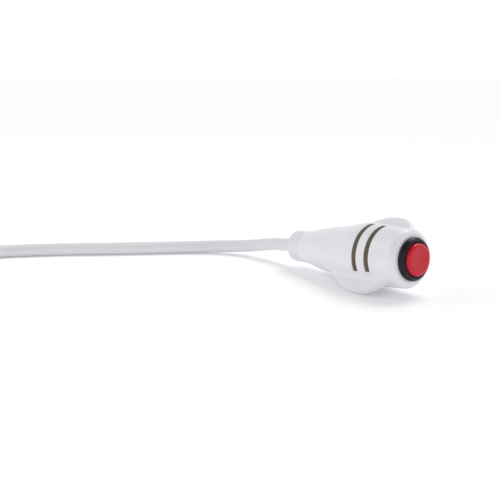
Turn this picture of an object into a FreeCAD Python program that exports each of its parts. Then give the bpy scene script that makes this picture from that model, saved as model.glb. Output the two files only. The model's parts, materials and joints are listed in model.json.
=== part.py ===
"""Hand-held call switch on a cord, as a parametric FreeCAD document. Run it as a macro; it writes parts/*.step.

Each piece of the handle is drawn about the handle's own axis, in millimetres: x runs forward to the button with x = 0
on the front face, y runs across the two wings, and z rises through the stripes. One placement from the sheet then lays
the handle down the way it rests: rolled onto its near wing, with its nose a little up. The cord and its plug are drawn
where they lie. The floor is z = 0, and the handle stands centred over the origin.
"""

import FreeCAD, Part
import math
import os
import Sketcher
from FreeCAD import Placement, Rotation, Vector

doc = FreeCAD.newDocument("call_switch")

# ---------------------------------------------------------------------------------------------------------------
# Sizes. Every number that shapes a piece is a cell of the sheet; a cell's alias is the name used everywhere else.
# ---------------------------------------------------------------------------------------------------------------

SIZES = [
    ("How the handle lies", [
        ("roll_angle", 43.8, "roll onto the near wing, degrees"),
        ("pitch_angle", 5.1, "nose up, degrees"),
        ("front_x", 34.7, "centre of the front face, forward of the origin"),
        ("front_y", 0.1, "centre of the front face, across"),
        ("front_z", 17.0, "centre of the front face above the floor"),
    ]),
    ("Shell", [
        ("barrel_radius", 13.05, "outside of the nose"),
        ("rim_round", 2.8, "rounding between the nose and its front face"),
        ("shell_length", 65.0, "front face to the rear face"),
        ("wall", 2.2, "wall of the two halves"),
        ("front_wall", 3.0, "wall that holds the switch"),
        ("wing_upper", 2.6, "wing thickness in the upper half"),
        ("wing_lower", 2.1, "wing thickness in the lower half"),
        ("wing_power", 5.0, "squareness of the wing's section"),
        ("wing_blend", 3.6, "reach of the hollow between body and wing"),
        ("switch_hole", 8.05, "radius of the hole for the switch"),
        ("web_back", 49.0, "front face to the web that guides the cord"),
        ("web_width", 1.8, "width of that web"),
        ("web_hole", 3.5, "radius of the hole in that web"),
        ("rear_wall", 4.0, "thickness of the rear wall"),
        ("rear_hole", 5.05, "radius of the hole for the collar's neck"),
    ]),
    ("Stripes", [
        ("stripe_width", 2.4, "along the handle"),
        ("stripe_depth", 0.8, "groove below the surface"),
        ("stripe_sink", 0.08, "inlay below the surface"),
        ("stripe_sweep", 110.0, "angle round the top, degrees"),
        ("stripe_turn", 13.7, "their middle's turn towards the lower wing, degrees"),
        ("stripe_front_back", 14.4, "front face to the middle of the front stripe"),
        ("stripe_rear_back", 21.2, "front face to the middle of the rear stripe"),
    ]),
    ("Shell screws", [
        ("screw_back", 41.0, "front face to the screws"),
        ("screw_side", 6.2, "axis to each screw"),
        ("screw_shank", 1.1, "radius"),
        ("screw_head", 2.0, "radius"),
        ("screw_head_high", 1.5, "height of the head"),
        ("screw_seat", 3.6, "split plane down to the seat of the head"),
        ("screw_grip", 5.6, "split plane up to the tip"),
        ("boss_radius", 3.1, "outside of the screw bosses"),
        ("screw_clear", 1.3, "hole in the lower boss"),
        ("screw_well", 2.3, "hole that the head drops into"),
    ]),
    ("Switch", [
        ("bezel_radius", 9.5, "outside of the bezel"),
        ("bezel_back", 0.6, "gasket's thickness, from the front face to the bezel"),
        ("bezel_edge", 1.5, "front face to where the bezel's cone starts"),
        ("bezel_front", 2.6, "front face to the bezel's front"),
        ("bezel_nose", 8.5, "radius of the bezel's front"),
        ("recess_radius", 7.35, "hollow that the button sinks into"),
        ("recess_floor", 1.5, "depth of that hollow behind the front face"),
        ("bushing_radius", 8.0, "threaded bushing"),
        ("bushing_length", 12.5, "behind the front face"),
        ("case_radius", 7.0, "case behind the bushing"),
        ("case_length", 22.5, "behind the front face"),
        ("guide_radius", 5.6, "bore that guides the button's stem"),
        ("ledge_back", 10.0, "front face to the spring's seat"),
        ("ledge_width", 1.2, "thickness of that seat"),
        ("ledge_hole", 2.1, "radius of its hole"),
        ("base_back", 20.0, "front face to the terminal base"),
        ("base_rear", 23.7, "front face to the rear of the terminal base"),
        ("gasket_radius", 9.2, "outside of the gasket"),
        ("nut_flats", 18.0, "across the flats"),
        ("nut_front", 4.0, "front face to the nut"),
        ("nut_width", 3.0, "thickness of the nut"),
        ("washer_radius", 9.6, "outside of the washer"),
    ]),
    ("Button", [
        ("travel", 2.0, "how far the button goes in"),
        ("cap_radius", 7.1, "outside of the red cap"),
        ("cap_front", 4.2, "its face, in front of the front face"),
        ("cap_back", 0.9, "its rear face, in front of the front face"),
        ("cap_round", 0.8, "rounding of its face"),
        ("stem_radius", 5.45, "stem in the guide bore"),
        ("stem_back", 6.0, "front face to the stem's end"),
        ("stem_hollow", 4.6, "hollow for the spring"),
        ("hollow_back", 1.0, "front face to the end of that hollow"),
        ("plunger_radius", 1.9, "rod between the cap and the contact"),
        ("plunger_end", 15.0, "front face to its end"),
        ("plunger_head", 2.3, "radius of its end"),
        ("plunger_neck", 14.2, "front face to that end's shoulder"),
        ("bridge_radius", 4.5, "contact disc"),
        ("bridge_width", 0.6, "its thickness"),
        ("spring_radius", 3.4, "middle of the spring's wire"),
        ("spring_wire", 0.3, "radius of the spring's wire"),
        ("spring_turns", 5.0, "turns"),
    ]),
    ("Terminals and leads", [
        ("blade_wide", 2.8, "along z"),
        ("blade_thick", 0.5, "across"),
        ("blade_side", 3.4, "axis to each blade"),
        ("blade_front", 16.35, "front face to the fixed contact"),
        ("blade_rear", 29.0, "front face to the end of the blade"),
        ("contact_reach", 1.0, "the fixed contact's length across"),
        ("sleeve_bore", 1.5, "shrink sleeve, inside radius"),
        ("sleeve_outer", 1.9, "shrink sleeve, outside radius"),
        ("sleeve_front", 25.0, "front face to the sleeve"),
        ("sleeve_length", 7.5, "length of the sleeve"),
        ("lead_radius", 0.8, "each inner lead"),
        ("lead_side", 1.0, "axis to each lead where they enter the cord"),
    ]),
    ("Collar and cord", [
        ("collar_radius", 7.65, "outside of the collar"),
        ("collar_rear", 74.0, "front face to the collar's rear face"),
        ("collar_round", 3.0, "rounding of the rear edge"),
        ("neck_radius", 5.0, "neck in the rear wall"),
        ("flange_radius", 6.3, "flange inside the shell"),
        ("flange_width", 2.0, "thickness of that flange"),
        ("cord_radius", 3.2, "outside of the jacket"),
        ("jacket_end", 47.0, "front face to the end of the jacket"),
        ("ferrule_radius", 4.3, "crimped ferrule"),
        ("ferrule_front", 51.0, "front face to the ferrule"),
        ("ferrule_length", 6.0, "length of the ferrule"),
    ]),
    ("Coil", [
        ("coil_x", -110.1, "centre of the coil"),
        ("coil_y", -176.4, "centre of the coil"),
        ("coil_radius", 38.0, "middle of its turns"),
        ("coil_width", 25.8, "width of its bundle, four turns side by side"),
        ("coil_height", 13.0, "height of its bundle, two layers"),
        ("coil_round", 3.0, "rounding of its edges"),
        ("tie_width", 8.0, "strap round the bundle"),
        ("tie_thick", 0.8, "thickness of the strap"),
        ("tie_angle", 225.0, "place of the tie round the coil, degrees"),
    ]),
    ("Plug", [
        ("plug_x", -56.0, "rear end of the strain relief"),
        ("plug_y", -222.4, "axis of the plug"),
        ("plug_z", 5.6, "axis of the plug above the floor"),
        ("relief_length", 15.0, "strain relief"),
        ("relief_radius", 4.3, "its wide end"),
        ("handle_radius", 5.6, "grip"),
        ("handle_length", 24.0, "grip"),
        ("plug_collar", 4.6, "metal shoulder, radius"),
        ("plug_collar_length", 2.0, "metal shoulder, length"),
        ("pin_radius", 3.175, "quarter inch pin"),
        ("pin_length", 20.0, "its sleeve"),
        ("ring_length", 1.6, "insulator"),
        ("tip_length", 8.9, "tip"),
        ("tip_neck", 2.3, "waist of the tip"),
    ]),
]

# The body's outline from the side: distance behind the front face and radius.
CORE_OUTLINE = [(2.8, 13.05), (8.0, 13.2), (14.0, 13.6), (20.0, 14.05), (26.0, 14.1), (31.0, 13.3), (36.0, 12.25),
                (41.0, 11.6), (46.0, 11.05), (51.0, 10.35), (56.0, 9.4), (60.0, 8.5), (65.0, 7.7)]

# The wings' outline from above: distance behind the front face and distance from the axis.
WING_OUTLINE = [(5.6, 13.08), (7.4, 14.2), (9.0, 16.4), (10.8, 18.1), (13.0, 19.5), (15.8, 20.4), (19.8, 20.8),
                (24.4, 20.5), (28.4, 19.3), (32.2, 17.3), (36.0, 15.0), (39.8, 12.9), (43.6, 11.5)]

sheet = doc.addObject("Spreadsheet::Sheet", "sizes")
size = {}


def write_sizes():
    """Fills the sheet: a note in column A and its number, with its alias, in column B."""
    row = 1
    for title, cells in SIZES:
        sheet.set(f"A{row}", title)
        row += 1
        for alias, number, note in cells:
            sheet.set(f"A{row}", note)
            sheet.set(f"B{row}", str(number))
            sheet.setAlias(f"B{row}", alias)
            size[alias] = number
            row += 1
    doc.recompute()


write_sizes()


# ---------------------------------------------------------------------------------------------------------------
# Ways of drawing
# ---------------------------------------------------------------------------------------------------------------

PIECES = []


def keep(piece, label, placement):
    """Names a finished piece and puts it in its place."""
    piece.Label = label
    piece.Placement = placement
    PIECES.append(piece)
    return piece


def in_handle():
    """Carries the handle's own axes to where the handle lies."""
    turn = Rotation(0.0, -sheet.pitch_angle, sheet.roll_angle)
    return Placement(Vector(sheet.front_x, sheet.front_y, sheet.front_z), turn)


def origin_plane(body, role):
    return next(part for part in body.Origin.OriginFeatures if part.Role == role)


def new_body(label):
    body = doc.addObject("PartDesign::Body", label)
    body.Label = label
    return body


def profile(body, role, corners, name="profile"):
    """A closed outline on one of the body's own planes. Each corner is a pair of expressions on the sheet."""
    sketch = body.newObject("Sketcher::SketchObject", f"{body.Name}_{name}")
    sketch.AttachmentSupport = [(origin_plane(body, role), "")]
    sketch.MapMode = "FlatFace"
    count = len(corners)
    first = [Vector(10 * math.cos(2 * math.pi * i / count), 10 * math.sin(2 * math.pi * i / count), 0)
             for i in range(count)]
    for i in range(count):
        sketch.addGeometry(Part.LineSegment(first[i], first[(i + 1) % count]), False)
    for i in range(count):
        sketch.addConstraint(Sketcher.Constraint("Coincident", i, 2, (i + 1) % count, 1))
    for i, (across, up) in enumerate(corners):
        for kind, expression, value in (("DistanceX", across, first[i].x), ("DistanceY", up, first[i].y)):
            index = sketch.addConstraint(Sketcher.Constraint(kind, -1, 1, i, 1, value))
            sketch.renameConstraint(index, f"{kind[-1].lower()}{i}")
            sketch.setExpression(f"Constraints.{kind[-1].lower()}{i}", expression)
    return sketch


def turned(label, corners, sweep="360", role="XZ_Plane"):
    """A body turned about the x axis from an outline of (x, radius) expressions, half the sweep on each side."""
    body = new_body(label)
    sketch = profile(body, role, corners)
    turn = body.newObject("PartDesign::Revolution", f"{label}_turn")
    turn.Profile = sketch
    turn.ReferenceAxis = (sketch, ["H_Axis"])
    turn.Midplane = True
    turn.setExpression("Angle", sweep)
    doc.recompute()
    return body


def ring(label, front, back, inner, outer):
    """A plain ring about the x axis, between two distances along it."""
    return turned(label, [(front, inner), (front, outer), (back, outer), (back, inner)])


def circles_at(body, along, radius):
    """Names of the body's circular edges of one radius, about the x axis, at one x."""
    names = []
    for number, edge in enumerate(body.Shape.Edges, start=1):
        curve = edge.Curve
        if isinstance(curve, Part.Circle) and abs(curve.Radius - radius) < 0.01 and abs(curve.Center.x - along) < 0.01:
            names.append(f"Edge{number}")
    return names


def rounded(body, along, radius, alias):
    """Rounds the body's circular edge at one x and radius."""
    tip = body.Tip
    fillet = body.newObject("PartDesign::Fillet", f"{body.Name}_round")
    fillet.Base = (tip, circles_at(body, along, radius))
    fillet.setExpression("Radius", f"sizes.{alias}")
    doc.recompute()
    return body


def tube(points, radius):
    """A round tube along straight runs joined by tangent arcs. Returns its solid, its length and its arcs' radii."""
    edges = []
    radii = []
    start = points[0]
    for before, corner, after in zip(points, points[1:], points[2:]):
        back = (before - corner).normalize()
        ahead = (after - corner).normalize()
        half_turn = (math.pi - back.getAngle(ahead)) / 2
        cut = 0.45 * min((before - corner).Length, (after - corner).Length)
        arc_radius = cut / math.tan(half_turn)
        radii.append(arc_radius)
        middle_way = (back + ahead).normalize()
        middle = corner + middle_way * (arc_radius / math.cos(half_turn) - arc_radius)
        edges.append(Part.LineSegment(start, corner + back * cut).toShape())
        edges.append(Part.Arc(corner + back * cut, middle, corner + ahead * cut).toShape())
        start = corner + ahead * cut
    edges.append(Part.LineSegment(start, points[-1]).toShape())
    path = Part.Wire(edges)
    section = Part.Wire([Part.makeCircle(radius, points[0], points[1] - points[0])])
    solid = path.makePipeShell([section], True, True)
    expected = math.pi * radius ** 2 * path.Length
    if abs(solid.Volume / expected - 1) > 0.01:
        raise ValueError(f"tube volume {solid.Volume:.1f}, expected {expected:.1f}")
    return solid, path.Length, radii


def shaped(label, shape, placement):
    """A piece whose shape is worked out here, from the sheet's sizes."""
    piece = doc.addObject("Part::Feature", label)
    piece.Shape = shape
    return keep(piece, label, placement)


def cylinder(name, radius, height, base, axis):
    """A Part cylinder whose radius, height and base point are expressions on the sheet."""
    solid = doc.addObject("Part::Cylinder", name)
    solid.setExpression("Radius", radius)
    solid.setExpression("Height", height)
    solid.Placement = Placement(Vector(), Rotation(Vector(0, 0, 1), axis))
    for letter, expression in zip("xyz", base):
        solid.setExpression(f"Placement.Base.{letter}", expression)
    return solid


def block(name, length, width, height, corner):
    """A Part box whose sides and low corner are expressions on the sheet."""
    solid = doc.addObject("Part::Box", name)
    for side, expression in (("Length", length), ("Width", width), ("Height", height)):
        solid.setExpression(side, expression)
    for letter, expression in zip("xyz", corner):
        solid.setExpression(f"Placement.Base.{letter}", expression)
    return solid


def joined(label, solids):
    piece = doc.addObject("Part::MultiFuse", label)
    piece.Shapes = solids
    return piece


# ---------------------------------------------------------------------------------------------------------------
# Shell: two halves of one moulded form, split through the middle of the wings
# ---------------------------------------------------------------------------------------------------------------


def along(outline, back):
    """A smooth curve through an outline's points, by cubic pieces whose slopes are those of the points beside them."""
    if back <= outline[0][0]:
        return outline[0][1]
    if back >= outline[-1][0]:
        return outline[-1][1]
    i = max(k for k in range(len(outline) - 1) if outline[k][0] <= back)
    (x0, y0), (x1, y1) = outline[i], outline[i + 1]

    def slope(k):
        low, high = outline[max(k - 1, 0)], outline[min(k + 1, len(outline) - 1)]
        return (high[1] - low[1]) / (high[0] - low[0])

    step = x1 - x0
    part = (back - x0) / step
    rise = part ** 2 * (3 - 2 * part)
    return (y0 * (1 - rise) + y1 * rise + step * slope(i) * part * (1 - part) ** 2
            - step * slope(i + 1) * part ** 2 * (1 - part))


def core_radius(back):
    """Radius of the round body. The nose's rim is a quarter circle."""
    rim = sheet.rim_round
    if back < rim:
        return sheet.barrel_radius - rim + math.sqrt(max(rim ** 2 - (rim - back) ** 2, 0.0))
    return along(CORE_OUTLINE, back)


def section_radius(back, angle, thickness):
    """Distance from the axis to the surface at one station, at an angle from the wings' plane.

    The section is a circle joined to a slab. The slab's edge is a superellipse, and a parabolic blend that is zero
    outside its reach fills the corner between them, so the wing grows out of the body with a hollow curve.
    """
    core = core_radius(back)
    inside = WING_OUTLINE[0][0] < back < WING_OUTLINE[-1][0]
    excess = max(along(WING_OUTLINE, back) - core, 0.0) if inside else 0.0
    reach = sheet.wing_blend
    span = core + excess
    if excess < reach:
        span = core + 2 * math.sqrt(reach * excess) - reach
    power = sheet.wing_power
    slab = ((abs(math.cos(angle)) / span) ** power + (abs(math.sin(angle)) / thickness) ** power) ** (-1 / power)
    overlap = max(reach - abs(slab - core), 0.0)
    return max(core, slab) + overlap ** 2 / (4 * reach)


def stations():
    """Distances behind the front face: close together round the rim, then even."""
    rim = sheet.rim_round
    backs = [rim * (1 - math.cos(math.radians(turn))) for turn in (0, 12, 26, 42, 58, 74, 90)]
    steps = 50
    return backs + [rim + (sheet.shell_length - rim) * k / steps for k in range(1, steps + 1)]


ANGLES = [0, 1.5, 3, 4.5, 6, 8, 10, 12, 14.5, 17, 20, 24, 29, 36, 46, 60, 75, 90]


def shares(rows):
    """How far each point of a row lies along it, as a share of the row's length, averaged over the rows."""
    count = len(rows[0])
    total = [0.0] * count
    for row in rows:
        steps = [row[k].distanceToPoint(row[k + 1]) for k in range(count - 1)]
        for k in range(1, count):
            total[k] += sum(steps[:k]) / sum(steps)
    return [value / len(rows) for value in total]


def surface_through(grid):
    """A smooth surface through a grid of points.

    A spline goes through each row, all with the same knots; then splines through the rows' poles, column by column,
    give the poles of the surface. Its four borders are the splines through the grid's border points.
    """

    def spline(points, parameters):
        curve = Part.BSplineCurve()
        curve.interpolate(Points=points, Parameters=parameters)
        return curve

    across, down = shares(grid), shares(list(zip(*grid)))
    rows = [spline(row, across) for row in grid]
    columns = [spline(list(poles), down) for poles in zip(*[row.getPoles() for row in rows])]
    net = [list(poles) for poles in zip(*[column.getPoles() for column in columns])]
    surface = Part.BSplineSurface()
    surface.buildFromPolesMultsKnots(net, columns[0].getMultiplicities(), rows[0].getMultiplicities(),
                                     columns[0].getKnots(), rows[0].getKnots(), False, False, 3, 3)
    return surface


def outer_half(thickness, side):
    """One half of the outer form, solid, above (side = 1) or below (side = -1) the wings' middle plane."""
    turns = [math.radians(angle) for angle in ANGLES]
    turns += [math.pi - turn for turn in reversed(turns[:-1])]
    grid = []
    for back in stations():
        radii = [section_radius(back, turn, thickness) for turn in turns]
        grid.append([Vector(-back, radius * math.cos(turn), side * radius * math.sin(turn))
                     for radius, turn in zip(radii, turns)])
    skin = surface_through(grid).toShape()
    front, rear = grid[0], grid[-1]
    closing = {name: Part.LineSegment(row[0], row[-1]).toShape() for name, row in (("front", front), ("rear", rear))}

    def edge_between(start, end):
        for edge in skin.Edges:
            ends = [vertex.Point for vertex in edge.Vertexes]
            if min(ends[0].distanceToPoint(start) + ends[-1].distanceToPoint(end),
                   ends[0].distanceToPoint(end) + ends[-1].distanceToPoint(start)) < 0.01:
                return edge
        raise ValueError("edge not found")

    faces = [skin]
    faces.append(Part.Face(Part.Wire(Part.__sortEdges__([edge_between(front[0], front[-1]), closing["front"]]))))
    faces.append(Part.Face(Part.Wire(Part.__sortEdges__([edge_between(rear[0], rear[-1]), closing["rear"]]))))
    faces.append(Part.Face(Part.Wire(Part.__sortEdges__([closing["front"], edge_between(front[0], rear[0]),
                                                         closing["rear"], edge_between(front[-1], rear[-1])]))))
    closed = Part.Shell(faces)
    closed.sewShape()
    solid = Part.Solid(Part.Shell(closed.Faces))
    if solid.Volume < 0:
        solid.reverse()
    return solid


def turned_solid(corners):
    """A solid turned about the x axis from an outline of (x, radius) numbers."""
    points = [Vector(x, 0, radius) for x, radius in corners]
    face = Part.Face(Part.makePolygon(points + points[:1]))
    return face.revolve(Vector(0, 0, 0), Vector(1, 0, 0), 360)


def inner_space():
    """What the two halves enclose: the switch's hole, the room behind it, the cord's web and the collar's seat."""
    wall, web = sheet.wall, sheet.web_back
    rear_room = sheet.shell_length - sheet.rear_wall
    corners = [(1.0, 0.0), (1.0, sheet.switch_hole), (-sheet.front_wall, sheet.switch_hole)]
    corners += [(-back, core_radius(back) - wall) for back in (sheet.front_wall, 8.0, 14.0, 20.0, 27.0, 36.0, 43.0, web)]
    corners += [(-web, sheet.web_hole), (-web - sheet.web_width, sheet.web_hole)]
    corners += [(-back, core_radius(back) - wall) for back in (web + sheet.web_width, 56.0)]
    corners += [(-rear_room, sheet.flange_radius + 0.1), (-rear_room, sheet.rear_hole)]
    corners += [(-sheet.shell_length - 1, sheet.rear_hole), (-sheet.shell_length - 1, 0.0)]
    return turned_solid(corners)


def screw_pillars(radius, low, high):
    """The two upright cylinders of one radius on the screws' axes."""
    pillars = [Part.makeCylinder(radius, high - low, Vector(-sheet.screw_back, side * sheet.screw_side, low))
               for side in (1, -1)]
    return Part.makeCompound(pillars)


def stripe_corners(middle, below, above):
    """Outline of a stripe: from a depth below the body's surface to a height above it."""
    ends = [middle - sheet.stripe_width / 2, middle + sheet.stripe_width / 2]
    return ([(-back, core_radius(back) - below) for back in ends]
            + [(-back, core_radius(back) + above) for back in reversed(ends)])


def stripe_groove(middle):
    """The groove that a stripe lies in."""
    points = [Vector(x, 0, radius) for x, radius in stripe_corners(middle, sheet.stripe_depth, 2.0)]
    face = Part.Face(Part.makePolygon(points + points[:1]))
    face.rotate(Vector(0, 0, 0), Vector(1, 0, 0), sheet.stripe_turn - sheet.stripe_sweep / 2)
    return face.revolve(Vector(0, 0, 0), Vector(1, 0, 0), sheet.stripe_sweep)


def shell_half(side):
    """One half of the shell, hollowed, with its screw bosses."""
    thickness = sheet.wing_upper if side > 0 else sheet.wing_lower
    solid = outer_half(thickness, side)
    bosses = screw_pillars(sheet.boss_radius, -20, 20)
    solid = solid.cut(inner_space().cut(bosses))
    if side > 0:
        solid = solid.cut(screw_pillars(sheet.screw_shank, -1, sheet.screw_grip))
        for middle in (sheet.stripe_front_back, sheet.stripe_rear_back):
            solid = solid.cut(stripe_groove(middle))
    else:
        solid = solid.cut(screw_pillars(sheet.screw_clear, -20, 1))
        solid = solid.cut(screw_pillars(sheet.screw_well, -20, -sheet.screw_seat))
    return solid


shaped("upper_shell", shell_half(1), in_handle())
shaped("lower_shell", shell_half(-1), in_handle())


def stripe(label, middle):
    """An inlay that lies in its groove, a touch below the surface."""
    corners = [(f"{x:.4f}", f"{radius:.4f}") for x, radius in
               stripe_corners(middle, sheet.stripe_depth, -sheet.stripe_sink)]
    turned_down = Placement(Vector(0, 0, 0), Rotation(Vector(1, 0, 0), sheet.stripe_turn))
    return keep(turned(label, corners, "sizes.stripe_sweep"), label, in_handle() * turned_down)


stripe("stripe_front", sheet.stripe_front_back)
stripe("stripe_rear", sheet.stripe_rear_back)


def shell_screws():
    """Two pan-head screws, driven up from below into the upper half."""
    solids = []
    for name, side in (("near", "-"), ("far", "")):
        centre = ("-sizes.screw_back", f"{side}sizes.screw_side")
        solids.append(cylinder(f"screw_shank_{name}", "sizes.screw_shank", "sizes.screw_seat + sizes.screw_grip",
                               (*centre, "-sizes.screw_seat"), Vector(0, 0, 1)))
        solids.append(cylinder(f"screw_head_{name}", "sizes.screw_head", "sizes.screw_head_high",
                               (*centre, "-sizes.screw_seat"), Vector(0, 0, -1)))
    return keep(joined("shell_screws", solids), "shell_screws", in_handle())


shell_screws()

# ---------------------------------------------------------------------------------------------------------------
# Switch: a 16 mm panel push button held by its nut in the shell's front wall
# ---------------------------------------------------------------------------------------------------------------

keep(ring("bezel_gasket", "0", "sizes.bezel_back", "sizes.bushing_radius", "sizes.gasket_radius"),
     "bezel_gasket", in_handle())

switch_housing = turned("switch_housing", [
    ("sizes.bezel_back", "sizes.bushing_radius"),
    ("sizes.bezel_back", "sizes.bezel_radius"),
    ("sizes.bezel_edge", "sizes.bezel_radius"),
    ("sizes.bezel_front", "sizes.bezel_nose"),
    ("sizes.bezel_front", "sizes.recess_radius"),
    ("-sizes.recess_floor", "sizes.recess_radius"),
    ("-sizes.recess_floor", "sizes.guide_radius"),
    ("-sizes.ledge_back", "sizes.guide_radius"),
    ("-sizes.ledge_back", "sizes.ledge_hole"),
    ("-sizes.ledge_back - sizes.ledge_width", "sizes.ledge_hole"),
    ("-sizes.ledge_back - sizes.ledge_width", "sizes.guide_radius"),
    ("-sizes.case_length", "sizes.guide_radius"),
    ("-sizes.case_length", "sizes.case_radius"),
    ("-sizes.bushing_length", "sizes.case_radius"),
    ("-sizes.bushing_length", "sizes.bushing_radius"),
])
keep(switch_housing, "switch_housing", in_handle())

keep(ring("lock_washer", "-sizes.front_wall", "-sizes.nut_front", "sizes.bushing_radius", "sizes.washer_radius"),
     "lock_washer", in_handle())


def switch_nut():
    """A hexagon nut on the bushing."""
    body = new_body("switch_nut")
    corners = []
    for k in range(6):
        angle = f"{60 * k + 30} deg"
        corners.append((f"sizes.nut_flats / sqrt(3) * cos({angle})", f"sizes.nut_flats / sqrt(3) * sin({angle})"))
    outline = profile(body, "YZ_Plane", corners)
    outline.AttachmentOffset = Placement(Vector(0, 0, -sheet.nut_front), Rotation())
    outline.setExpression("AttachmentOffset.Base.z", "-sizes.nut_front")
    pad = body.newObject("PartDesign::Pad", "switch_nut_pad")
    pad.Profile = outline
    pad.setExpression("Length", "sizes.nut_width")
    pad.Reversed = True
    doc.recompute()
    bore = profile(body, "XZ_Plane", [("-sizes.nut_front + 1", "0"), ("-sizes.nut_front + 1", "sizes.bushing_radius"),
                                      ("-sizes.nut_front - sizes.nut_width - 1", "sizes.bushing_radius"),
                                      ("-sizes.nut_front - sizes.nut_width - 1", "0")], "bore")
    groove = body.newObject("PartDesign::Groove", "switch_nut_bore")
    groove.Profile = bore
    groove.ReferenceAxis = (bore, ["H_Axis"])
    groove.Angle = 360
    doc.recompute()
    if body.Shape.Volume > 0.8 * pad.Shape.Volume:
        raise ValueError("the nut's bore cut nothing")
    return keep(body, "switch_nut", in_handle())


switch_nut()

push_button = turned("push_button", [
    ("sizes.cap_front", "0"),
    ("sizes.cap_front", "sizes.cap_radius"),
    ("sizes.cap_back", "sizes.cap_radius"),
    ("sizes.cap_back", "sizes.stem_radius"),
    ("-sizes.stem_back", "sizes.stem_radius"),
    ("-sizes.stem_back", "sizes.stem_hollow"),
    ("-sizes.hollow_back", "sizes.stem_hollow"),
    ("-sizes.hollow_back", "0"),
])
rounded(push_button, sheet.cap_front, sheet.cap_radius, "cap_round")
keep(push_button, "push_button", in_handle())

keep(turned("plunger", [
    ("-sizes.hollow_back", "0"),
    ("-sizes.hollow_back", "sizes.plunger_radius"),
    ("-sizes.plunger_neck", "sizes.plunger_radius"),
    ("-sizes.plunger_neck", "sizes.plunger_head"),
    ("-sizes.plunger_end", "sizes.plunger_head"),
    ("-sizes.plunger_end", "0"),
]), "plunger", in_handle())

keep(ring("contact_bridge", "-sizes.plunger_neck", "-sizes.plunger_neck + sizes.bridge_width",
          "sizes.plunger_radius", "sizes.bridge_radius"), "contact_bridge", in_handle())


def helix_path(radius, length, turns):
    """The middle line of a coil spring along +Z, in quarter turns, each a spline through points of the helix."""
    rise = length / turns / math.tau
    edges = []
    for quarter in range(int(turns * 4)):
        angles = [math.pi / 2 * (quarter + step / 4) for step in range(5)]
        points = [Vector(radius * math.cos(angle), radius * math.sin(angle), rise * angle) for angle in angles]
        starts, ends = [Vector(-radius * math.sin(angle), radius * math.cos(angle), rise).normalize()
                        for angle in (angles[0], angles[-1])]
        curve = Part.BSplineCurve()
        curve.interpolate(Points=points, InitialTangent=starts, FinalTangent=ends)
        edges.append(curve.toShape())
    return Part.Wire(edges)


def return_spring():
    """A coil spring between the button's hollow stem and the ledge."""
    wire = sheet.spring_wire
    low, high = -sheet.ledge_back + wire, -sheet.hollow_back - wire
    helix = helix_path(sheet.spring_radius, high - low, sheet.spring_turns)
    helix.rotate(Vector(), Vector(0, 1, 0), 90)
    helix.translate(Vector(low, 0, 0))
    first = helix.Edges[0]
    start, ahead = first.valueAt(first.FirstParameter), first.tangentAt(first.FirstParameter)
    section = Part.Wire([Part.makeCircle(wire, start, ahead)])
    solid = Part.Wire(helix.Edges).makePipeShell([section], True, True)
    return shaped("return_spring", solid, in_handle())


return_spring()

# ---------------------------------------------------------------------------------------------------------------
# Terminals and leads
# ---------------------------------------------------------------------------------------------------------------


def blade_box(name, side, front, rear, inner, outer):
    """A flat strip on one side of the axis, given as distances behind the front face and from the axis."""
    low_y = f"{inner}" if side > 0 else f"-({outer})"
    return block(name, f"({rear}) - ({front})", f"({outer}) - ({inner})", "sizes.blade_wide",
                 (f"-({rear})", low_y, "-sizes.blade_wide / 2"))


def terminal(label, side):
    """A bent strip: the fixed contact inside the switch, and the blade that the lead is soldered to."""
    inner = "sizes.blade_side - sizes.blade_thick / 2"
    outer = "sizes.blade_side + sizes.blade_thick / 2"
    blade = blade_box(f"{label}_blade", side, "sizes.blade_front", "sizes.blade_rear", inner, outer)
    pad = blade_box(f"{label}_pad", side, "sizes.blade_front", "sizes.blade_front + sizes.blade_thick",
                    f"{outer} - sizes.contact_reach", outer)
    return keep(joined(label, [blade, pad]), label, in_handle())


terminal("terminal_left", 1)
terminal("terminal_right", -1)


def terminal_base():
    """The insulating disc that closes the switch and holds the two terminals."""
    disc = turned("terminal_disc", [
        ("-sizes.base_back", "0"),
        ("-sizes.base_back", "sizes.guide_radius"),
        ("-sizes.case_length", "sizes.guide_radius"),
        ("-sizes.case_length", "sizes.case_radius"),
        ("-sizes.base_rear", "sizes.case_radius"),
        ("-sizes.base_rear", "0"),
    ])
    slots = [blade_box(f"base_slot_{name}", side, "sizes.base_back - 1", "sizes.base_rear + 1",
                       "sizes.blade_side - sizes.blade_thick / 2", "sizes.blade_side + sizes.blade_thick / 2")
             for name, side in (("left", 1), ("right", -1))]
    cut = doc.addObject("Part::Cut", "terminal_base")
    cut.Base = disc
    cut.Tool = joined("base_slots", slots)
    doc.recompute()
    return keep(cut, "terminal_base", in_handle())


terminal_base()


def terminal_sleeves():
    """A shrink sleeve over each soldered end."""
    sleeves = []
    for name, side in (("left", ""), ("right", "-")):
        base = ("-sizes.sleeve_front", f"{side}sizes.blade_side", "0")
        sleeve = doc.addObject("Part::Cut", f"sleeve_{name}")
        sleeve.Base = cylinder(f"sleeve_outer_{name}", "sizes.sleeve_outer", "sizes.sleeve_length", base, Vector(-1, 0, 0))
        sleeve.Tool = cylinder(f"sleeve_bore_{name}", "sizes.sleeve_bore", "sizes.sleeve_length", base, Vector(-1, 0, 0))
        sleeves.append(sleeve)
    return keep(joined("terminal_sleeves", sleeves), "terminal_sleeves", in_handle())


terminal_sleeves()


def lead(label, side):
    """An inner lead from its terminal to the end of the cord's jacket."""
    points = [Vector(-back, side * across, 0) for back, across in (
        (sheet.blade_rear, sheet.blade_side), (33.4, sheet.blade_side), (38.0, sheet.lead_side),
        (sheet.jacket_end, sheet.lead_side))]
    solid, length, radii = tube(points, sheet.lead_radius)
    return shaped(label, solid, in_handle())


lead("lead_red", 1)
lead("lead_black", -1)

# ---------------------------------------------------------------------------------------------------------------
# Collar and the cord's fixed end
# ---------------------------------------------------------------------------------------------------------------

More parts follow.
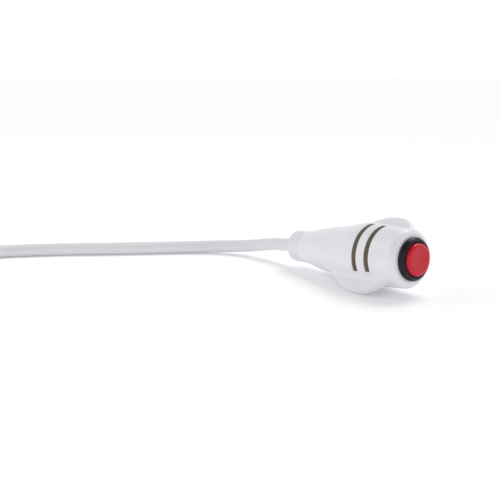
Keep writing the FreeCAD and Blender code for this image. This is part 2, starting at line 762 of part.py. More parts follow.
keep(ring("cord_inner", "-sizes.jacket_end", "-sizes.collar_rear", "0", "sizes.cord_radius"),
     "cord_inner", in_handle())
keep(ring("cord_ferrule", "-sizes.ferrule_front", "-sizes.ferrule_front - sizes.ferrule_length",
          "sizes.cord_radius", "sizes.ferrule_radius"), "cord_ferrule", in_handle())

cord_collar = turned("cord_collar", [
    ("-sizes.shell_length + sizes.rear_wall + sizes.flange_width", "sizes.cord_radius"),
    ("-sizes.shell_length + sizes.rear_wall + sizes.flange_width", "sizes.flange_radius"),
    ("-sizes.shell_length + sizes.rear_wall", "sizes.flange_radius"),
    ("-sizes.shell_length + sizes.rear_wall", "sizes.neck_radius"),
    ("-sizes.shell_length", "sizes.neck_radius"),
    ("-sizes.shell_length", "sizes.collar_radius"),
    ("-sizes.collar_rear", "sizes.collar_radius"),
    ("-sizes.collar_rear", "sizes.cord_radius"),
])
rounded(cord_collar, -sheet.collar_rear, sheet.collar_radius, "collar_round")
keep(cord_collar, "cord_collar", in_handle())

# ---------------------------------------------------------------------------------------------------------------
# Free cord: down to the floor behind the handle, away in one long bend, then a tied coil and the plug
# ---------------------------------------------------------------------------------------------------------------

in_place = Placement()


def outer_slot():
    """Radius of the coil's outermost turn, on the floor."""
    return sheet.coil_radius + 3 * sheet.cord_radius


def cord_lead():
    """From the collar's rear face to the side of the coil."""
    exit_point = in_handle().multVec(Vector(-sheet.collar_rear, 0, 0))
    along_axis = in_handle().multVec(Vector(-sheet.collar_rear - 15, 0, 0)) - exit_point
    floor = sheet.cord_radius
    points = [exit_point, exit_point + along_axis]
    points += [Vector(sheet.front_x + x, y, z) for x, y, z in (
        (-106.5, -3.2, 5.0), (-122.5, -13.5, 3.6), (-134.5, -30.0, floor + 0.05), (-151.0, -55.0, floor),
        (-172.5, -85.5, floor), (-187.0, -112.5, floor))]
    points += [Vector(sheet.coil_x - outer_slot(), sheet.coil_y + 40.4, floor),
               Vector(sheet.coil_x - outer_slot() + 0.4, sheet.coil_y + 12.4, floor)]
    solid, length, radii = tube(points, sheet.cord_radius)
    print("cord_lead length", round(length, 1), "arc radii", [round(radius) for radius in radii])
    return shaped("cord_lead", solid, in_place)


cord_lead()


def cord_coil():
    """The tied coil's outer shape: a ring with rounded edges, and a shallow groove under it for the tie."""
    body = new_body("cord_coil")
    inner, outer = "sizes.coil_radius - sizes.coil_width / 2", "sizes.coil_radius + sizes.coil_width / 2"
    sketch = profile(body, "XZ_Plane", [(inner, "0"), (outer, "0"), (outer, "sizes.coil_height"),
                                        (inner, "sizes.coil_height")])
    turn = body.newObject("PartDesign::Revolution", "cord_coil_turn")
    turn.Profile = sketch
    turn.ReferenceAxis = (sketch, ["V_Axis"])
    turn.Angle = 360
    doc.recompute()
    edges = [f"Edge{number}" for number, edge in enumerate(turn.Shape.Edges, start=1)
             if isinstance(edge.Curve, Part.Circle)]
    fillet = body.newObject("PartDesign::Fillet", "cord_coil_round")
    fillet.Base = (turn, edges)
    fillet.setExpression("Radius", "sizes.coil_round")
    doc.recompute()
    half = "sizes.tie_width / 2"
    groove = profile(body, "XZ_Plane", [(f"{inner} - 2", "-1"), (f"{outer} + 2", "-1"),
                                        (f"{outer} + 2", "sizes.tie_thick"), (f"{inner} - 2", "sizes.tie_thick")], "groove")
    pocket = body.newObject("PartDesign::Pocket", "cord_coil_groove")
    pocket.Profile = groove
    pocket.Midplane = True
    pocket.setExpression("Length", "sizes.tie_width")
    doc.recompute()
    if pocket.Shape.Volume >= fillet.Shape.Volume - 1:
        raise ValueError("the tie's groove cut nothing")
    turn_round = Rotation(Vector(0, 0, 1), sheet.tie_angle)
    return keep(body, "cord_coil", Placement(Vector(sheet.coil_x, sheet.coil_y, 0), turn_round))


cord_coil()


def coil_tie():
    """A hook-and-loop strap round the bundle: flat under it, and round its sides and top."""
    body = new_body("coil_tie")
    inner, outer = "sizes.coil_radius - sizes.coil_width / 2", "sizes.coil_radius + sizes.coil_width / 2"
    thick = "sizes.tie_thick"
    outside = profile(body, "XZ_Plane", [(f"{inner} - {thick}", "0"), (f"{outer} + {thick}", "0"),
                                         (f"{outer} + {thick}", f"sizes.coil_height + {thick}"),
                                         (f"{inner} - {thick}", f"sizes.coil_height + {thick}")], "outside")
    pad = body.newObject("PartDesign::Pad", "coil_tie_pad")
    pad.Profile = outside
    pad.Midplane = True
    pad.setExpression("Length", "sizes.tie_width")
    doc.recompute()
    inside = profile(body, "XZ_Plane", [(inner, thick), (outer, thick), (outer, "sizes.coil_height"),
                                        (inner, "sizes.coil_height")], "inside")
    pocket = body.newObject("PartDesign::Pocket", "coil_tie_pocket")
    pocket.Profile = inside
    pocket.Midplane = True
    pocket.setExpression("Length", "sizes.tie_width + 2")
    doc.recompute()
    if pocket.Shape.Volume > 0.5 * pad.Shape.Volume:
        raise ValueError("the strap isn't hollow")
    turn_round = Rotation(Vector(0, 0, 1), sheet.tie_angle)
    return keep(body, "coil_tie", Placement(Vector(sheet.coil_x, sheet.coil_y, 0), turn_round))


coil_tie()


def cord_tail():
    """From the coil's upper layer, over its edge and down to the plug's strain relief."""
    points = [Vector(sheet.coil_x + 12.1, sheet.plug_y, 3 * sheet.cord_radius - 0.2),
              Vector(sheet.coil_x + 24.1, sheet.plug_y, 7.6),
              Vector(sheet.plug_x - 14.5, sheet.plug_y, sheet.plug_z),
              Vector(sheet.plug_x, sheet.plug_y, sheet.plug_z)]
    solid, length, radii = tube(points, sheet.cord_radius)
    print("cord_tail length", round(length, 1), "arc radii", [round(radius) for radius in radii])
    return shaped("cord_tail", solid, in_place)


cord_tail()

# ---------------------------------------------------------------------------------------------------------------
# Plug: a quarter inch plug with a moulded grip, drawn along x from the cord's end
# ---------------------------------------------------------------------------------------------------------------

at_plug = Placement(Vector(sheet.plug_x, sheet.plug_y, sheet.plug_z), Rotation())
GRIP = "sizes.relief_length"
SHOULDER = f"{GRIP} + sizes.handle_length"
PIN = f"{SHOULDER} + sizes.plug_collar_length"
INSULATOR = f"{PIN} + sizes.pin_length"
TIP = f"{INSULATOR} + sizes.ring_length"

keep(turned("plug_relief", [("0", "0"), ("0", "sizes.cord_radius + 0.4"), (GRIP, "sizes.relief_radius"), (GRIP, "0")]),
     "plug_relief", at_plug)

plug_grip = turned("plug_grip", [
    (GRIP, "0"), (GRIP, "sizes.handle_radius"), (SHOULDER, "sizes.handle_radius"), (SHOULDER, "0"),
])
rounded(plug_grip, sheet.relief_length, sheet.handle_radius, "cap_round")
keep(plug_grip, "plug_grip", at_plug)

keep(turned("plug_sleeve", [
    (SHOULDER, "0"), (SHOULDER, "sizes.plug_collar"), (PIN, "sizes.plug_collar"), (PIN, "sizes.pin_radius"),
    (INSULATOR, "sizes.pin_radius"), (INSULATOR, "0"),
]), "plug_sleeve", at_plug)

keep(ring("plug_insulator", INSULATOR, TIP, "0", "sizes.pin_radius - 0.05"), "plug_insulator", at_plug)

keep(turned("plug_tip", [
    (TIP, "0"), (TIP, "sizes.pin_radius - 0.05"), (f"{TIP} + 0.9", "sizes.pin_radius - 0.05"),
    (f"{TIP} + 2.6", "sizes.tip_neck"), (f"{TIP} + 3.4", "sizes.tip_neck"), (f"{TIP} + 5.2", "sizes.pin_radius - 0.15"),
    (f"{TIP} + 6.4", "sizes.pin_radius - 0.3"), (f"{TIP} + sizes.tip_length", "0.9"), (f"{TIP} + sizes.tip_length", "0"),
]), "plug_tip", at_plug)

# ---------------------------------------------------------------------------------------------------------------
# Check every object, then write each piece
# ---------------------------------------------------------------------------------------------------------------

doc.recompute()
for thing in doc.Objects:
    if "Invalid" in thing.State or "Error" in thing.State:
        raise ValueError(f"{thing.Label} failed: {thing.State}")
for piece in PIECES:
    shape = piece.Shape
    if shape.isNull() or not shape.isValid() or not shape.Solids:
        raise ValueError(f"{piece.Label} has no valid solid")

os.makedirs("parts", exist_ok=True)
for piece in PIECES:
    piece.Shape.exportStep(f"parts/{piece.Label}.step")
print(len(PIECES), "pieces written")
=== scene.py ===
# %% [markdown]
# # A push-button hand switch
#
# The object is a hand-held switch: a white moulded handle with two finger wings, two olive stripes let
# into its top, a red button in a black bezel at the front, and a white cord that leaves a short collar at
# the rear. The cord's spare length lies in a tied coil and ends in a quarter-inch plug.
#
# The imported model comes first. It fixes where everything is, so each piece below is worked out in the
# same frame, in metres, and rides on one of the model's two bodies: the handset and the button.

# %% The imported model
import json
import math

import bpy
import numpy as np
from mathutils import Matrix, Vector


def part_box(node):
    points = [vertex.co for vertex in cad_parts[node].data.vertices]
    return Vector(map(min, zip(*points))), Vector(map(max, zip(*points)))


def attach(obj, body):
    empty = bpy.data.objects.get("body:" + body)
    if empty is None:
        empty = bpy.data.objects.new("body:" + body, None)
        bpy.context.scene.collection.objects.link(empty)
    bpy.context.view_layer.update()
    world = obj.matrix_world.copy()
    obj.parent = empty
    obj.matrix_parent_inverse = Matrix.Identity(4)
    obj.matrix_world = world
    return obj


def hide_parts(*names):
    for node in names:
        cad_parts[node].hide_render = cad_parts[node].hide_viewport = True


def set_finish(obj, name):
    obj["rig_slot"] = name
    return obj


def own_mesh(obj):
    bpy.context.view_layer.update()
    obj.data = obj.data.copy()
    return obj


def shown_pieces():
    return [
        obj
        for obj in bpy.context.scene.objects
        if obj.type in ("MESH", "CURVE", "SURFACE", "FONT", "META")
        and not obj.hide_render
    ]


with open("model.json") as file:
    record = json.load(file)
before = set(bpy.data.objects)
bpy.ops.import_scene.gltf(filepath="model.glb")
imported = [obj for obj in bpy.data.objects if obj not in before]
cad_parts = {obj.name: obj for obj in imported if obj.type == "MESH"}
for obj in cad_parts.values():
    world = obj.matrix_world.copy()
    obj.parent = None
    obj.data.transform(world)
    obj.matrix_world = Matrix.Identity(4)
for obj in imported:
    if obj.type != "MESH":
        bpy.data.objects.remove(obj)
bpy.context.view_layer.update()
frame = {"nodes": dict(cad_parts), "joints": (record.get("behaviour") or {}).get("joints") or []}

MM = 0.001

# %% [markdown]
# ## The handle's own axes
#
# The handle lies on its side, on one wing and the barrel, so nothing on it is square to the table. It is
# easier to describe in its own axes: x forward through the button, y across the wings, z up through the
# stripes, in millimetres, with x = 0 at the shell's front face. The button's slide gives the forward
# direction, the gasket is a flat ring on the front face and gives the origin, and the roll is one angle.

# %% The handle's own axes
ROLL = math.radians(43.8)
GASKET_HALF = 0.3 * MM
forward = -np.array(frame["joints"][0]["axis"])
pitch = math.asin(forward[2])
side = np.array((-math.sin(ROLL) * math.sin(pitch), math.cos(ROLL), math.sin(ROLL) * math.cos(pitch)))
top = np.cross(forward, side)
HANDLE_AXES = np.array((forward, side, top))


def middle(node):
    """The centre of a node's box."""
    low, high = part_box(node)
    return np.array((low + high) / 2)


FRONT_FACE = middle("bezel_gasket") - forward * GASKET_HALF


def in_handle(points):
    """Points in the handle's axes, in millimetres, as points of the frame, in metres."""
    return FRONT_FACE + (np.asarray(points, float) * MM) @ HANDLE_AXES


print("front face at", np.round(FRONT_FACE / MM, 2), "mm, pitch", round(math.degrees(pitch), 2))

# %% [markdown]
# ## The camera
#
# A camera is placed before anything is made, because the free cord has to stay clear of its view. The
# lens is a little longer than normal, about 0.38 m away and slightly above the table, looking at the
# handle three-quarters from the front. There is no depth of field and no shift.

# %% The camera
CAMERA_PLACE = Vector((0.25483, -0.26438, 0.09648))
CAMERA_AZIMUTH = math.radians(51.38)
CAMERA_ELEVATION = math.radians(12.62)
LENS = 58.464
SENSOR_WIDTH = 36.0
level = math.cos(CAMERA_ELEVATION)
backwards = Vector((math.sin(CAMERA_AZIMUTH) * level, -math.cos(CAMERA_AZIMUTH) * level,
                    math.sin(CAMERA_ELEVATION)))
camera_data = bpy.data.cameras.new("camera")
camera_data.lens = LENS
camera_data.sensor_width = SENSOR_WIDTH
camera_data.clip_start = 0.01
camera_data.clip_end = 20.0
camera = bpy.data.objects.new("camera", camera_data)
towards_handle = (-backwards).to_track_quat("-Z", "Y").to_matrix().to_4x4()
camera.matrix_world = Matrix.Translation(CAMERA_PLACE) @ towards_handle
bpy.context.scene.collection.objects.link(camera)
bpy.context.scene.camera = camera
print("camera at", [round(value, 3) for value in camera.location])

# %% [markdown]
# ## The cord
#
# The real cord is a round jacket 6.4 mm thick and about 1.8 m long. It could be swept as a mesh, but a
# curve with a bevel is the natural tool: its control points are the places that the cord passes, and a
# NURBS spline of order 3 turns them into one smooth line. It comes straight out of the collar, sinks to
# the table and runs off to the left, where the spare length is wound into two layers: in from the
# outside on the table, and out again on top of the first layer. Where the strap passes under the coil,
# the turns are lifted by its thickness. The route is in millimetres, and the cord's length in metres.
#
# Points on a circle steer a smaller circle than the one that they lie on, so the coil's points stand
# outside its line by one over the cosine of half a step.

# %% The cord's route
CORD_RADIUS = 3.2
COIL_CENTRE = np.array((-110.1, -176.4))
COIL_OUTER = 47.6
BOTTOM_TURNS = 3.0
ALL_TURNS = 6.25
LEVEL_TURNS = 0.5
CLIMB_LEAD = 0.1
CLIMB_TURNS = 0.6
POINTS_PER_TURN = 24
LAYER_RISE = 2 * CORD_RADIUS
STRAP_THICK = 0.8
STRAP_SPREAD = 0.34
TIE_ANGLE = math.radians(225)

lead_points = [(-39.01, 0.1, 10.42), (-53.95, 0.1, 9.09), (-71.8, -3.2, 5.0), (-87.8, -13.5, 3.6),
               (-99.8, -30.0, 3.25), (-116.3, -55.0, 3.2), (-137.8, -85.5, 3.2), (-152.3, -112.5, 3.2),
               (-157.7, -136.0, 3.2), (-157.3, -164.0, 3.2)]
tail_points = [(-98.0, -222.4, 9.4), (-86.0, -222.4, 7.6), (-70.5, -222.4, 5.6), (-56.0, -222.4, 5.6)]


def coil_points():
    """The turns: a spiral in, a climb inside the innermost turn, and a spiral out on top of the first layer.

    The radius loses a cord's width with each turn inwards and gains one with each turn outwards. The climb
    is a smooth step, and the strap's lift is a bell curve of the angle from the strap.
    """
    step = math.tau / POINTS_PER_TURN
    stand_off = 1 / math.cos(step / 2)
    points = []
    for number in range(int(ALL_TURNS * POINTS_PER_TURN) + 1):
        turn = number / POINTS_PER_TURN
        inward = min(turn, BOTTOM_TURNS)
        outward = max(turn - BOTTOM_TURNS - LEVEL_TURNS, 0.0)
        radius = (COIL_OUTER - 2 * CORD_RADIUS * (inward - outward)) * stand_off
        climb = min(max((turn - BOTTOM_TURNS + CLIMB_LEAD) / CLIMB_TURNS, 0.0), 1.0)
        height = CORD_RADIUS + LAYER_RISE * climb * climb * (3 - 2 * climb)
        angle = math.pi + math.tau * turn
        from_strap = (angle - TIE_ANGLE + math.pi) % math.tau - math.pi
        height += STRAP_THICK * math.exp(-(from_strap / STRAP_SPREAD) ** 2)
        across = COIL_CENTRE + radius * np.array((math.cos(angle), math.sin(angle)))
        points.append((*across, height))
    return points


print("the coil has", len(coil_points()), "points")

# %% The cord as one curve
CURVE_STEPS = 6
BEVEL_STEPS = 8


def spline_curve(name, points, radius):
    """A round cord along one NURBS spline of order 3 that those points steer, all in millimetres."""
    curve = bpy.data.curves.new(name, "CURVE")
    curve.dimensions = "3D"
    spline = curve.splines.new("NURBS")
    spline.points.add(len(points) - 1)
    for control, point in zip(spline.points, points):
        control.co = (*(Vector(point) * MM), 1.0)
    spline.order_u = 3
    spline.use_endpoint_u = True
    spline.resolution_u = CURVE_STEPS
    curve.bevel_depth = radius * MM
    curve.bevel_resolution = BEVEL_STEPS
    curve.use_fill_caps = True
    piece = bpy.data.objects.new(name, curve)
    bpy.context.scene.collection.objects.link(piece)
    return piece


cord_points = lead_points + coil_points() + tail_points
cord = spline_curve("cord", cord_points, CORD_RADIUS)
print(len(cord_points), "control points")

# %% [markdown]
# ## Helpers for new pieces
#
# Every new piece is a closed surface worked out as one array. A grid of points is a stack of rings: each
# row is a closed ring and neighbouring rows are joined by four-cornered faces. The ends are closed by a
# fan round one point, or the last ring joins the first, as on a tyre. A mesh whose volume comes out
# negative is inside out, so it is turned round before it is used.

# %% Helpers for new pieces
SHARP_ANGLE = math.radians(38)


def cells(rows, columns, wrap_rows=False, wrap_columns=True):
    """The corners of each cell of a grid of points, four indices to a cell."""
    row = np.arange(rows if wrap_rows else rows - 1)[:, None]
    column = np.arange(columns if wrap_columns else columns - 1)[None, :]
    next_row, next_column = (row + 1) % rows, (column + 1) % columns
    corners = (row * columns + column, row * columns + next_column,
               next_row * columns + next_column, next_row * columns + column)
    return np.stack(corners, -1).reshape(-1, 4)


def skin(grid, tyre=False):
    """Points and faces of a closed surface: a stack of rings, with fans at its ends or joined as a tyre."""
    rows, columns = grid.shape[:2]
    points, faces = grid.reshape(-1, 3), cells(rows, columns, wrap_rows=tyre).tolist()
    if tyre:
        return points, faces
    ring = np.arange(columns)
    after, last_ring = (ring + 1) % columns, (rows - 1) * columns
    first_pole = np.full(columns, rows * columns)
    faces += np.stack((first_pole, after, ring), -1).tolist()
    faces += np.stack((first_pole + 1, last_ring + ring, last_ring + after), -1).tolist()
    return np.vstack((points, grid[0].mean(0), grid[-1].mean(0))), faces


def make_piece(name, points, faces, body, slot, *nodes):
    """A mesh object in the frame, riding on a body and standing for CAD nodes."""
    mesh = bpy.data.meshes.new(name)
    mesh.from_pydata(np.asarray(points, float).tolist(), [], faces)
    mesh.validate()
    mesh.calc_loop_triangles()
    where = np.empty(len(mesh.vertices) * 3, np.float32)
    mesh.vertices.foreach_get("co", where)
    triangles = np.empty(len(mesh.loop_triangles) * 3, np.int32)
    mesh.loop_triangles.foreach_get("vertices", triangles)
    corners = where.reshape(-1, 3)[triangles].reshape(-1, 3, 3).astype(float)
    if np.einsum("ij,ij->", corners[:, 0], np.cross(corners[:, 1], corners[:, 2])) < 0:
        mesh.flip_normals()
    mesh.shade_smooth()
    mesh.set_sharp_from_angle(angle=SHARP_ANGLE)
    piece = bpy.data.objects.new(name, mesh)
    bpy.context.scene.collection.objects.link(piece)
    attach(piece, body)
    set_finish(piece, slot)
    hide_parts(*nodes)
    print(name, "has", len(mesh.loop_triangles), "triangles")
    return piece


print("a stack of 2 rings of 3 points has", len(cells(2, 3)), "cells")

# %% Helpers for turned pieces
def softened(corners, steps=6):
    """An outline of (x, r, rounding) corners, each rounded by a parabola that starts that far from it."""
    corners = np.array(corners, float)
    place, reach = corners[:, :2], corners[:, 2]
    line = []
    for index, corner in enumerate(place):
        if reach[index] == 0:
            line.append(corner)
            continue
        before, after = place[index - 1], place[(index + 1) % len(place)]
        start = corner + (before - corner) * reach[index] / np.linalg.norm(before - corner)
        end = corner + (after - corner) * reach[index] / np.linalg.norm(after - corner)
        part = np.linspace(0, 1, steps)[:, None]
        line.extend((1 - part) ** 2 * start + 2 * part * (1 - part) * corner + part ** 2 * end)
    return np.array(line)


def turned(outline, steps=144):
    """An outline of (x, r) carried round the x axis: (x, r cos a, r sin a)."""
    angle = np.arange(steps) * math.tau / steps
    return np.stack((np.repeat(outline[:, :1], steps, 1), outline[:, 1:] * np.cos(angle),
                     outline[:, 1:] * np.sin(angle)), -1)


SQUARE = [(0, 1, 0.2), (1, 1, 0.2), (1, 2, 0.2), (0, 2, 0.2)]
print("a square with rounded corners has", len(softened(SQUARE)), "points")

# %% [markdown]
# ## The upper shell
#
# The upper half of the handle is an injection moulding: a tapered round body with a wing on each side, a
# rounded nose, and two grooves for the inlaid stripes. It could be sculpted, or lofted from curves, but
# its section is a formula, so a formula makes it too. At each distance behind the front face the section
# is a circle joined to a slab whose edge is a superellipse, with a hollow blend between them. The edge at
# the split line and the lips of the grooves are softened by a tenth of a millimetre, as a mould's are.
#
# The surface goes round as a closed loop at each angle: out from the switch's hole, over the nose, along
# the outside, over the rear wall, and back along the inside. The flat split face closes each side.

# %% The handle's form
BARREL_RADIUS = 13.05
RIM_ROUND = 2.8
SHELL_LENGTH = 65.0
WALL = 2.2
WING_POWER = 5
WING_BLEND = 3.6
WING_THICKNESS = 2.6
CORE_OUTLINE = [(2.8, 13.05), (8.0, 13.2), (14.0, 13.6), (20.0, 14.05), (26.0, 14.1), (31.0, 13.3),
                (36.0, 12.25), (41.0, 11.6), (46.0, 11.05), (51.0, 10.35), (56.0, 9.4), (60.0, 8.5),
                (65.0, 7.7)]
WING_OUTLINE = [(5.6, 13.08), (7.4, 14.2), (9.0, 16.4), (10.8, 18.1), (13.0, 19.5), (15.8, 20.4),
                (19.8, 20.8), (24.4, 20.5), (28.4, 19.3), (32.2, 17.3), (36.0, 15.0), (39.8, 12.9),
                (43.6, 11.5)]


def along(outline, back):
    """A smooth line through an outline: cubic pieces, sloped at each point as the chord of its neighbours."""
    x, y = np.array(outline).T
    index = np.arange(len(x))
    before, after = np.maximum(index - 1, 0), np.minimum(index + 1, len(x) - 1)
    slope = (y[after] - y[before]) / (x[after] - x[before])
    at = np.clip(np.searchsorted(x, back, side="right") - 1, 0, len(x) - 2)
    step = x[at + 1] - x[at]
    part = np.clip((back - x[at]) / step, 0, 1)
    rise = part ** 2 * (3 - 2 * part)
    return (y[at] * (1 - rise) + y[at + 1] * rise + step * slope[at] * part * (1 - part) ** 2
            - step * slope[at + 1] * part ** 2 * (1 - part))


def core_radius(back):
    """Radius of the round body: a quarter circle at the nose's rim, then its outline."""
    short = np.maximum(RIM_ROUND - back, 0)
    rim = BARREL_RADIUS - RIM_ROUND + np.sqrt(np.maximum(RIM_ROUND ** 2 - short ** 2, 0))
    return np.where(back < RIM_ROUND, rim, along(CORE_OUTLINE, back))


def section_radius(back, angle):
    """Distance from the axis to the surface: a circle, a superelliptic slab, and a parabola between them."""
    core = core_radius(back)
    inside = (back > WING_OUTLINE[0][0]) & (back < WING_OUTLINE[-1][0])
    excess = np.where(inside, np.maximum(along(WING_OUTLINE, back) - core, 0), 0)
    early = 2 * np.sqrt(WING_BLEND * excess) - WING_BLEND
    span = core + np.where(excess < WING_BLEND, early, excess)
    slab = ((np.abs(np.cos(angle)) / span) ** WING_POWER
            + (np.abs(np.sin(angle)) / WING_THICKNESS) ** WING_POWER) ** (-1 / WING_POWER)
    overlap = np.maximum(WING_BLEND - np.abs(slab - core), 0)
    return np.maximum(core, slab) + overlap ** 2 / (4 * WING_BLEND)


print("wings", 2 * max(radius for _, radius in WING_OUTLINE), "mm across, nose", 2 * BARREL_RADIUS, "mm")

# %% [markdown]
# ## The stripes' grooves
#
# Two grooves are let into the top for the stripes. A groove is where the surface steps down to a fixed
# depth under the round body. The step is smooth and a tenth of a millimetre wide, which rounds its lip, and
# it is one where the place is within the groove both along the handle and round it.

# %% The stripes' grooves
STRIPE_MIDDLES = (14.4, 21.2)
STRIPE_HALF = 1.2
STRIPE_DEPTH = 0.8
STRIPE_SWEEP = math.radians(110.0)
STRIPE_TURN = math.radians(13.7)
LIP = 0.09


def step_up(value):
    """A smooth step from 0 to 1 while a value goes from -1 to 1."""
    part = np.clip((value + 1) / 2, 0, 1)
    return part * part * (3 - 2 * part)


def groove_mask(back, angle):
    """1 inside a stripe's groove and 0 outside, with a soft lip."""
    ends = (STRIPE_SWEEP / 2 - np.abs(angle - math.pi / 2 - STRIPE_TURN)) * core_radius(back) / LIP
    across = [step_up((STRIPE_HALF - np.abs(back - centre)) / LIP) for centre in STRIPE_MIDDLES]
    return np.maximum(*across) * step_up(ends)


print("each stripe is", round(math.degrees(STRIPE_SWEEP)), "degrees round and", 2 * STRIPE_HALF, "mm wide")

# %% [markdown]
# ## Where the moulding's points go
#
# Points stand closer where the surface turns fast: at the nose's rim, at the lips of the grooves, at the
# split line and at the rear edge. Two lists of stations say where, one along the handle and one round it.

# %% Where the moulding's points go
SEAM = 0.1
SEAM_ANGLE = 0.008
RIM_STEPS = 12
STATION_STEP = 0.5
STATION_MARGIN = 0.4
ANGLE_STEPS = 62
ANGLE_CROWDING = 1.9


def crowded(edges, spread):
    """Extra stations on both sides of each edge."""
    return [edge + spread * offset for edge in edges for offset in (-1.5, -1, -0.5, 0, 0.5, 1, 1.5)]


def shell_stations():
    """Distances behind the front face, close together at the rim, the grooves' edges and the rear edge."""
    turn = np.linspace(0, math.pi / 2, RIM_STEPS)
    grooves = [centre + way * STRIPE_HALF for centre in STRIPE_MIDDLES for way in (-1, 1)]
    even = np.arange(RIM_ROUND + STATION_MARGIN, SHELL_LENGTH - STATION_MARGIN, STATION_STEP)
    rear = SHELL_LENGTH - SEAM * np.array((3, 1, 0.5, 0.2, 0))
    every = np.concatenate((RIM_ROUND * (1 - np.cos(turn)), even, crowded(grooves, LIP), rear))
    return np.unique(np.round(every, 4))


def shell_angles():
    """Angles between the split edges, close together at the edges, on the wings and at the stripes' ends."""
    quarter = math.pi / 2 * np.linspace(0, 1, ANGLE_STEPS) ** ANGLE_CROWDING
    edge = SEAM_ANGLE * np.array((0.1, 0.25, 0.5, 0.75, 1))
    middle = math.pi / 2 + STRIPE_TURN
    ends = crowded([middle - STRIPE_SWEEP / 2, middle + STRIPE_SWEEP / 2], LIP / BARREL_RADIUS)
    every = np.concatenate((quarter, edge, math.pi - quarter, math.pi - edge, ends))
    return np.unique(np.round(every, 5))


print(len(shell_stations()), "stations along the handle,", len(shell_angles()), "round it")

# %% The moulding
SWITCH_HOLE = 8.05
FRONT_WALL = 3.0
REAR_WALL = 4.0
REAR_HOLE = 5.05
ROOM_STEPS = 40


def upper_shell():
    """(x, r cos a, r sin a), where r follows the outside and then the inside of the moulding.

    The outside is the section's radius, less the grooves, and it falls by a quarter circle at its edges.
    """
    back, angle = shell_stations(), shell_angles()
    across, turn = np.meshgrid(back, angle, indexing="ij")
    outside = section_radius(across, turn)
    outside += groove_mask(across, turn) * (core_radius(across) - STRIPE_DEPTH - outside)
    near_edge = np.clip(1 - np.minimum(turn, math.pi - turn) / SEAM_ANGLE, 0, 1)
    near_rear = np.clip(1 - (SHELL_LENGTH - across) / SEAM, 0, 1)
    for near in (near_edge, near_rear):
        outside -= SEAM * (1 - np.sqrt(1 - near ** 2))
    room = np.linspace(SHELL_LENGTH - REAR_WALL, FRONT_WALL, ROOM_STEPS)
    flat = [(0.0, SWITCH_HOLE), (0.0, (SWITCH_HOLE + outside[0, 0]) / 2)]
    inside = [(SHELL_LENGTH, REAR_HOLE), (SHELL_LENGTH - REAR_WALL, REAR_HOLE)]
    inside += list(zip(room, core_radius(room) - WALL)) + [(FRONT_WALL, SWITCH_HOLE)]
    distance = np.concatenate(([x for x, _ in flat], back, [x for x, _ in inside]))
    before, after = [np.array([r for _, r in part])[:, None] + 0 * angle for part in (flat, inside)]
    radius = np.concatenate((before, outside, after))
    x = np.repeat(-distance[:, None], len(angle), 1)
    grid = np.stack((x, radius * np.cos(angle), radius * np.sin(angle)), -1)
    rows, columns = radius.shape
    faces = cells(rows, columns, wrap_rows=True, wrap_columns=False).tolist()
    ring = np.arange(rows) * columns
    faces += [ring.tolist(), (ring[::-1] + columns - 1).tolist()]
    return in_handle(grid.reshape(-1, 3)), faces


make_piece("handle_upper_shell", *upper_shell(), "handset", "shell_white", "upper_shell")

# %% [markdown]
# ## The stripes
#
# Each stripe is a soft olive inlay pressed into its groove, a hair below the white surface. A flat decal
# would do from afar, but up close an inlay shows a thin shadow line round it, so it is a real strip: a
# bar with rounded top edges, bent round the handle, that narrows in a quarter circle at its two ends.

# %% The stripes
STRIPE_SINK = 0.07
STRIPE_GAP = 0.07
STRIPE_ROUND = 0.25
STRIPE_STEPS = 120
END_STEPS = 6


def stripe(centre):
    """A rounded bar whose section lies across the handle, carried round it through the stripe's sweep.

    Near each end the section is drawn in by r (1 - sqrt(1 - t^2)), a quarter circle of radius r.
    """
    half_sweep = STRIPE_SWEEP / 2 - STRIPE_GAP / BARREL_RADIUS
    inwards = STRIPE_ROUND / BARREL_RADIUS * (1 - np.cos(np.linspace(0, math.pi / 2, END_STEPS)))
    straight = half_sweep - 2 * inwards[-1]
    angle = np.concatenate((inwards - half_sweep, np.linspace(-straight, straight, STRIPE_STEPS),
                            (half_sweep - inwards)[::-1]))
    to_end = np.clip(1 - (half_sweep - np.abs(angle)) * BARREL_RADIUS / STRIPE_ROUND, 0, 1)
    tuck = STRIPE_ROUND * (1 - np.sqrt(1 - to_end ** 2))
    width = STRIPE_HALF - STRIPE_GAP
    outline = softened([(-width, -STRIPE_DEPTH, 0), (width, -STRIPE_DEPTH, 0),
                        (width, -STRIPE_SINK, STRIPE_ROUND), (0, -STRIPE_SINK, 0),
                        (-width, -STRIPE_SINK, STRIPE_ROUND)])
    across = outline[:, 0] * (1 - tuck[:, None] / width)
    depth = np.minimum(outline[:, 1], -STRIPE_SINK - tuck[:, None])
    radius = core_radius(centre + across) + np.maximum(depth, -STRIPE_DEPTH)
    turn = np.repeat(math.pi / 2 + STRIPE_TURN + angle[:, None], len(outline), 1)
    return np.stack((-centre - across, radius * np.cos(turn), radius * np.sin(turn)), -1)


for label, centre in zip(("stripe_front", "stripe_rear"), STRIPE_MIDDLES):
    make_piece(f"{label}_inlay", *skin(in_handle(stripe(centre))), "handset", "stripe_olive", label)

# %% [markdown]
# ## The switch's bezel and the red button
#
# The switch is a standard 16 mm push button. Its black housing is one turned form: a bezel with a sloping
# face that stands on the gasket, a hollow that the button sinks into, the bushing and the case behind.
# The red cap is moulded too. Its face is very slightly hollow, so that a thumb stays on it, and its edge
# is rounded by a parabola that starts 1.5 mm from the corner. Both are outlines carried round the
# handle's axis, and the corners that can be seen are rounded, because a sharp corner never catches the
# light. An outline is a list of corners, each with its x, its radius and how far its rounding reaches.

